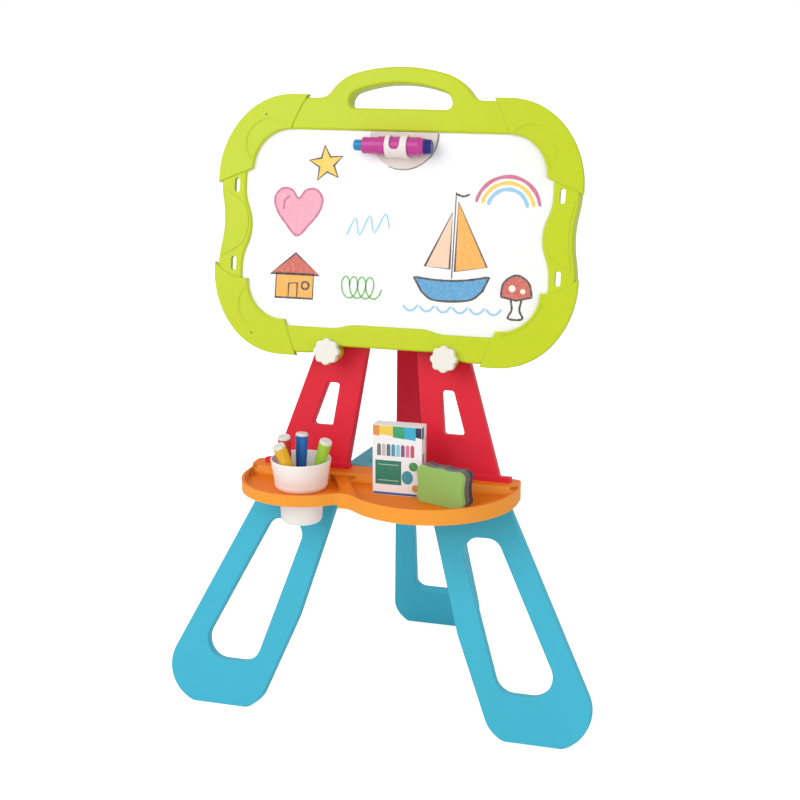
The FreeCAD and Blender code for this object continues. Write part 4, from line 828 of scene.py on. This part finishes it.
def print_carton():
    """Colour band over the top, a row of crayons, a green field with paint blobs and a blue foot."""
    band = (("amber", (0.80, 0.28, 0.05), 0.4, 9, 79), ("yellow", (0.88, 0.62, 0.07), 9, 27, 80),
            ("green", (0.02, 0.36, 0.16), 27, 42, 77), ("cyan", (0.02, 0.42, 0.62), 42, 57, 76),
            ("navy", (0.006, 0.012, 0.05), 57, 64.6, 79))
    slant, upper_edge = 1.5, 91.6
    for name, colour, left, right, low in band:
        slanted = [(left, low), (right, low - slant), (right, upper_edge), (left, upper_edge)]
        printed("carton_band_" + name, colour, [slanted], on_carton_front)
    crayons = ((0.16, 0.17, 0.18), (0.55, 0.52, 0.50), (0.10, 0.16, 0.20), (0.06, 0.30, 0.42),
               (0.25, 0.58, 0.72), (0.22, 0.08, 0.25), (0.72, 0.20, 0.32), (0.55, 0.06, 0.12))
    first, pitch = 6, 6.3
    for k, colour in enumerate(crayons):
        shape = crayon_shape(first + pitch * k, 52, 68)
        printed("carton_crayon_%d" % k, colour, [shape], on_carton_front)
    printed("carton_field", (0.008, 0.20, 0.115), [rectangle(3.5, 14, 38, 46)], on_carton_front)
    lines = [rectangle(7, 19, 34.5, 19.8), rectangle(7, 40, 34.5, 40.8)]
    printed("carton_field_line", (0.55, 0.72, 0.60), lines, on_carton_front, ON_TOP)
    for name, colour, shape in (("teal", (0.03, 0.30, 0.40), circle(46, 25, 7.5, tall=9)),
                                ("leaf", (0.05, 0.30, 0.08), circle(54, 40, 6)),
                                ("amber", (0.62, 0.32, 0.08), circle(57, 11, 5))):
        blob = curved(shape, closed=True, steps=3)
        printed("carton_blob_" + name, colour, [blob], on_carton_front, ON_TOP)
    printed("carton_side_top", (0.02, 0.02, 0.03), [rectangle(0.5, 76, 9, 91.5)], on_carton_side)
    printed("carton_foot", (0.01, 0.12, 0.36), [rectangle(0.4, 0.4, 64.6, 3.6)], on_carton_front)
    printed("carton_side_band", (0.62, 0.40, 0.44), [rectangle(17, 3, 21, 76)], on_carton_side)
    marks = [rectangle(4, 44, 12, 56), rectangle(4, 30, 12, 34)]
    printed("carton_side_marks", (0.30, 0.30, 0.34), marks, on_carton_side)


# ---------------------------------------------------------------- operators


def steel():
    return metal("steel", (0.55, 0.55, 0.56), roughness=0.3)


def white_moulding():
    colour = bpy.context.scene.easel_colours.white
    return plastic("white_moulding", colour, roughness=0.38, cloud=0.08, soft=0.05)


class EASEL_OT_frame(bpy.types.Operator):
    """Lime board frame, front and back mouldings"""

    bl_idname = "easel.frame"
    bl_label = "Board frame"

    def execute(self, context):
        sizes, colours = settings()
        lime = plastic("lime_moulding", colours.lime, roughness=0.30, cloud=0.14, coat=0.08)
        dressed("frame_front_shell", lime)
        dressed("frame_back_shell", lime)
        finish_node("frame_screws", steel())
        # painted shade: two dark dots on the left pads stand in for the shade inside small dimples
        dimple_shadows = [circle(-181, 795, radius=1.5), circle(-187, 507, radius=1.5)]
        shade = ink("dimple_shade", (0.10, 0.13, 0.01))
        drawing("pad_dimple_shadows", shade, fills=dimple_shadows, level=sizes.pad_step / MM)
        return {"FINISHED"}


class EASEL_OT_panel(bpy.types.Operator):
    """White dry-wipe panel"""

    bl_idname = "easel.panel"
    bl_label = "Writing panel"

    def execute(self, context):
        colour = context.scene.easel_colours.panel
        made = plastic("panel_white", colour, roughness=0.16, cloud=0.03, coat=0.3, edge_highlight=0.0, bump=0.02)
        finish_node("writing_panel", made)
        return {"FINISHED"}


class EASEL_OT_drawings(bpy.types.Operator):
    """Children's marker drawings on the panel"""

    bl_idname = "easel.drawings"
    bl_label = "Drawings"

    def execute(self, context):
        for draw in (draw_house, draw_heart, draw_star, draw_boat, draw_rainbow, draw_mushroom,
                     draw_scribbles):
            draw()
        return {"FINISHED"}


class EASEL_OT_stand(bpy.types.Operator):
    """Uprights, legs, stay and hinge"""

    bl_idname = "easel.stand"
    bl_label = "Stand"

    def execute(self, context):
        sizes, colours = settings()
        red = plastic("red_moulding", colours.red, roughness=0.42, cloud=0.14)
        blue = plastic("blue_moulding", colours.blue, roughness=0.42, cloud=0.14)
        for node in ("left_upright", "right_upright", "rear_leg_upper"):
            dressed(node, red, sizes.edge * THIN_EDGE)
        for node in ("left_leg", "right_leg", "rear_leg_lower", "stay"):
            dressed(node, blue, sizes.edge * THIN_EDGE)
        for node in ("hinge_pin", "stay_pin", "knob_nuts"):
            finish_node(node, steel())
        finish_node("hinge_caps", white_moulding())
        return {"FINISHED"}


class EASEL_OT_tray(bpy.types.Operator):
    """Orange accessory tray"""

    bl_idname = "easel.tray"
    bl_label = "Tray"

    def execute(self, context):
        colours = context.scene.easel_colours
        orange = plastic("orange_moulding", colours.orange, roughness=0.5, cloud=0.14,
                         wall=colours.orange_lit_wall)
        dressed("tray", orange)
        return {"FINISHED"}


class EASEL_OT_white_parts(bpy.types.Operator):
    """Cup, thumb screws and marker clip"""

    bl_idname = "easel.white_parts"
    bl_label = "White parts"

    def execute(self, context):
        sizes = context.scene.easel_sizes
        dressed("pen_cup", white_moulding(), sizes.edge * CUP_EDGE)
        # painted shade: the knobs get a darker copy of the cup's white, which offsets the stronger light
        # on their faces
        shaded_knob_white = plastic("shaded_knob_white_moulding", (0.87, 0.84, 0.75), roughness=0.38, cloud=0.08)
        for node in ("left_knob", "right_knob"):
            dressed(node, shaded_knob_white, sizes.edge * CUP_EDGE)
        # one moulding in two tones: the plate is painted darker as shade against the panel, and the
        # fingers and lip are lighter as painted highlight
        fingers = plastic("clip_fingers_lit", (0.90, 0.80, 0.79), roughness=0.35, cloud=0.08)
        plate = plastic("clip_plate", (0.80, 0.72, 0.66), roughness=0.35, cloud=0.08)
        build_clip(plate, fingers, ink("gap_shade", (0.24, 0.23, 0.23)))
        return {"FINISHED"}


class EASEL_OT_clip_marker(bpy.types.Operator):
    """Marker held in the clip"""

    bl_idname = "easel.clip_marker"
    bl_label = "Clip marker"

    def execute(self, context):
        sizes, colours = settings()
        parts = (("barrel", "magenta_moulding", colours.magenta, 0.25, BARREL_EDGE),
                 ("cap", "tip_blue", colours.tip, 0.25, THIN_EDGE),
                 ("plug", "navy_moulding", colours.navy, 0.3, THIN_EDGE))
        for part, name, colour, roughness, share in parts:
            made = plastic(name, colour, roughness, cloud=0.1, coat=0.3)
            dressed("clip_marker_" + part, made, sizes.edge * share)
        return {"FINISHED"}


class EASEL_OT_markers(bpy.types.Operator):
    """Four markers in the cup"""

    bl_idname = "easel.markers"
    bl_label = "Markers"

    def execute(self, context):
        sizes = context.scene.easel_sizes
        inks = {"yellow": (0.90, 0.50, 0.02), "red": (0.72, 0.025, 0.018), "blue": (0.012, 0.14, 0.50),
                "green": (0.36, 0.66, 0.05)}
        pale = plastic("plug_pale", (0.80, 0.80, 0.74), roughness=0.35, cloud=0.05)
        for colour, value in inks.items():
            made = plastic("marker_" + colour, value, roughness=0.28, cloud=0.1, coat=0.3)
            marker = dressed(colour + "_marker", made, sizes.edge * BARREL_EDGE)
            taper_cap(marker, colour)
            dressed(colour + "_marker_plug", pale, sizes.edge * THIN_EDGE)
        return {"FINISHED"}


class EASEL_OT_carton(bpy.types.Operator):
    """Printed carton of crayons"""

    bl_idname = "easel.carton"
    bl_label = "Crayon carton"

    def execute(self, context):
        card = plastic("carton_card", (0.92, 0.91, 0.93), roughness=0.4, cloud=0.05, edge_highlight=0.4)
        finish_node("crayon_carton", card)
        print_carton()
        return {"FINISHED"}


class EASEL_OT_eraser(bpy.types.Operator):
    """Board eraser in three layers"""

    bl_idname = "easel.eraser"
    bl_label = "Board eraser"

    def execute(self, context):
        sizes = context.scene.easel_sizes
        layers = (("handle", "green", (0.28, 0.51, 0.10), 1500.0, 0.15, 0.0002),
                  ("foam", "grey", (0.095, 0.075, 0.066), 1100.0, 0.2, 0.0003),
                  ("felt", "dark", (0.018, 0.006, 0.009), 800.0, 0.15, 0.0005))
        for layer, shade, colour, scale, speckle, depth in layers:
            made = fibrous("eraser_" + shade, colour, scale, speckle, depth)
            dressed("eraser_" + layer, made, sizes.edge)
        return {"FINISHED"}


class EASEL_OT_stage(bpy.types.Operator):
    """Pale floor, soft lights and the camera"""

    bl_idname = "easel.stage"
    bl_label = "Stage"

    def execute(self, context):
        scene = context.scene
        bm = bmesh.new()
        bmesh.ops.create_grid(bm, x_segments=1, y_segments=1, size=FLOOR_HALF)
        mesh = finished_mesh("floor", bm)
        floor = bpy.data.objects.new("floor", mesh)
        floor.location.z = -FLOOR_BELOW
        scene.collection.objects.link(floor)
        made, tree, shader = new_material("floor_paper")
        place = tree.nodes.new("ShaderNodeTexCoord").outputs["Object"]
        mottle = noise(tree, scale=3.0, detail=2.0, vector=place)
        tone = blend_colour(tree, mottle, (0.78, 0.78, 0.78), (0.82, 0.82, 0.82))
        tree.links.new(tone, shader.inputs["Base Color"])
        shader.inputs["Roughness"].default_value = 0.9
        shader.inputs["Emission Color"].default_value = (1.0, 1.0, 1.0, 1.0)
        straight = tree.nodes.new("ShaderNodeLightPath").outputs["Is Camera Ray"]
        glow = math_node(tree, "MULTIPLY", straight, FLOOR_GLOW)
        tree.links.new(glow, shader.inputs["Emission Strength"])
        mesh.materials.append(made)

        scene.world = studio_world(WORLD_LIGHT, WORLD_SEEN)
        for name, place, width, power in LIGHTS:
            light = bpy.data.lights.new(name, "AREA")
            light.size = width
            light.energy = power
            lamp = bpy.data.objects.new(name, light)
            lamp.location = place
            to_aim = Vector(LIGHT_AIM) - Vector(place)
            lamp.rotation_euler = to_aim.to_track_quat("-Z", "Y").to_euler()
            scene.collection.objects.link(lamp)

        sizes = scene.easel_sizes
        lens = bpy.data.cameras.new("camera")
        lens.sensor_width = SENSOR
        lens.lens = LENS
        lens.shift_x = SHIFT_X
        lens.shift_y = SHIFT_Y
        lens.clip_end = 100.0
        camera = bpy.data.objects.new("camera", lens)
        camera.location = (CAMERA_X, CAMERA_Y - sizes.board_back, CAMERA_Z)
        aim = Vector((AIM_X, AIM_Y - sizes.board_back, AIM_Z))
        camera.rotation_euler = (aim - camera.location).to_track_quat("-Z", "Y").to_euler()
        scene.collection.objects.link(camera)
        scene.camera = camera
        scene.view_settings.view_transform = "Standard"
        return {"FINISHED"}


OPERATORS = (EASEL_OT_frame, EASEL_OT_panel, EASEL_OT_drawings, EASEL_OT_stand, EASEL_OT_tray,
             EASEL_OT_white_parts, EASEL_OT_clip_marker, EASEL_OT_markers, EASEL_OT_carton,
             EASEL_OT_eraser, EASEL_OT_stage)


class EASEL_PT_panel(bpy.types.Panel):
    """Lists the pieces of the easel"""

    bl_label = "Easel"
    bl_idname = "EASEL_PT_panel"
    bl_space_type = "VIEW_3D"
    bl_region_type = "UI"
    bl_category = "Easel"

    def draw(self, context):
        layout = self.layout
        for group in (context.scene.easel_sizes, context.scene.easel_colours):
            for name in group.__annotations__:
                layout.prop(group, name)
        for operator in OPERATORS:
            layout.operator(operator.bl_idname)


CLASSES = (EaselColours, EaselSizes) + OPERATORS + (EASEL_PT_panel,)


def register():
    for item in CLASSES:
        bpy.utils.register_class(item)
    bpy.types.Scene.easel_sizes = PointerProperty(type=EaselSizes)
    bpy.types.Scene.easel_colours = PointerProperty(type=EaselColours)


def unregister():
    del bpy.types.Scene.easel_colours
    del bpy.types.Scene.easel_sizes
    for item in reversed(CLASSES):
        bpy.utils.unregister_class(item)


def main():
    register()
    for operator in OPERATORS:
        group, name = operator.bl_idname.split(".")
        getattr(getattr(bpy.ops, group), name)()
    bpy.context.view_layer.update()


if __name__ == "__main__":
    main()
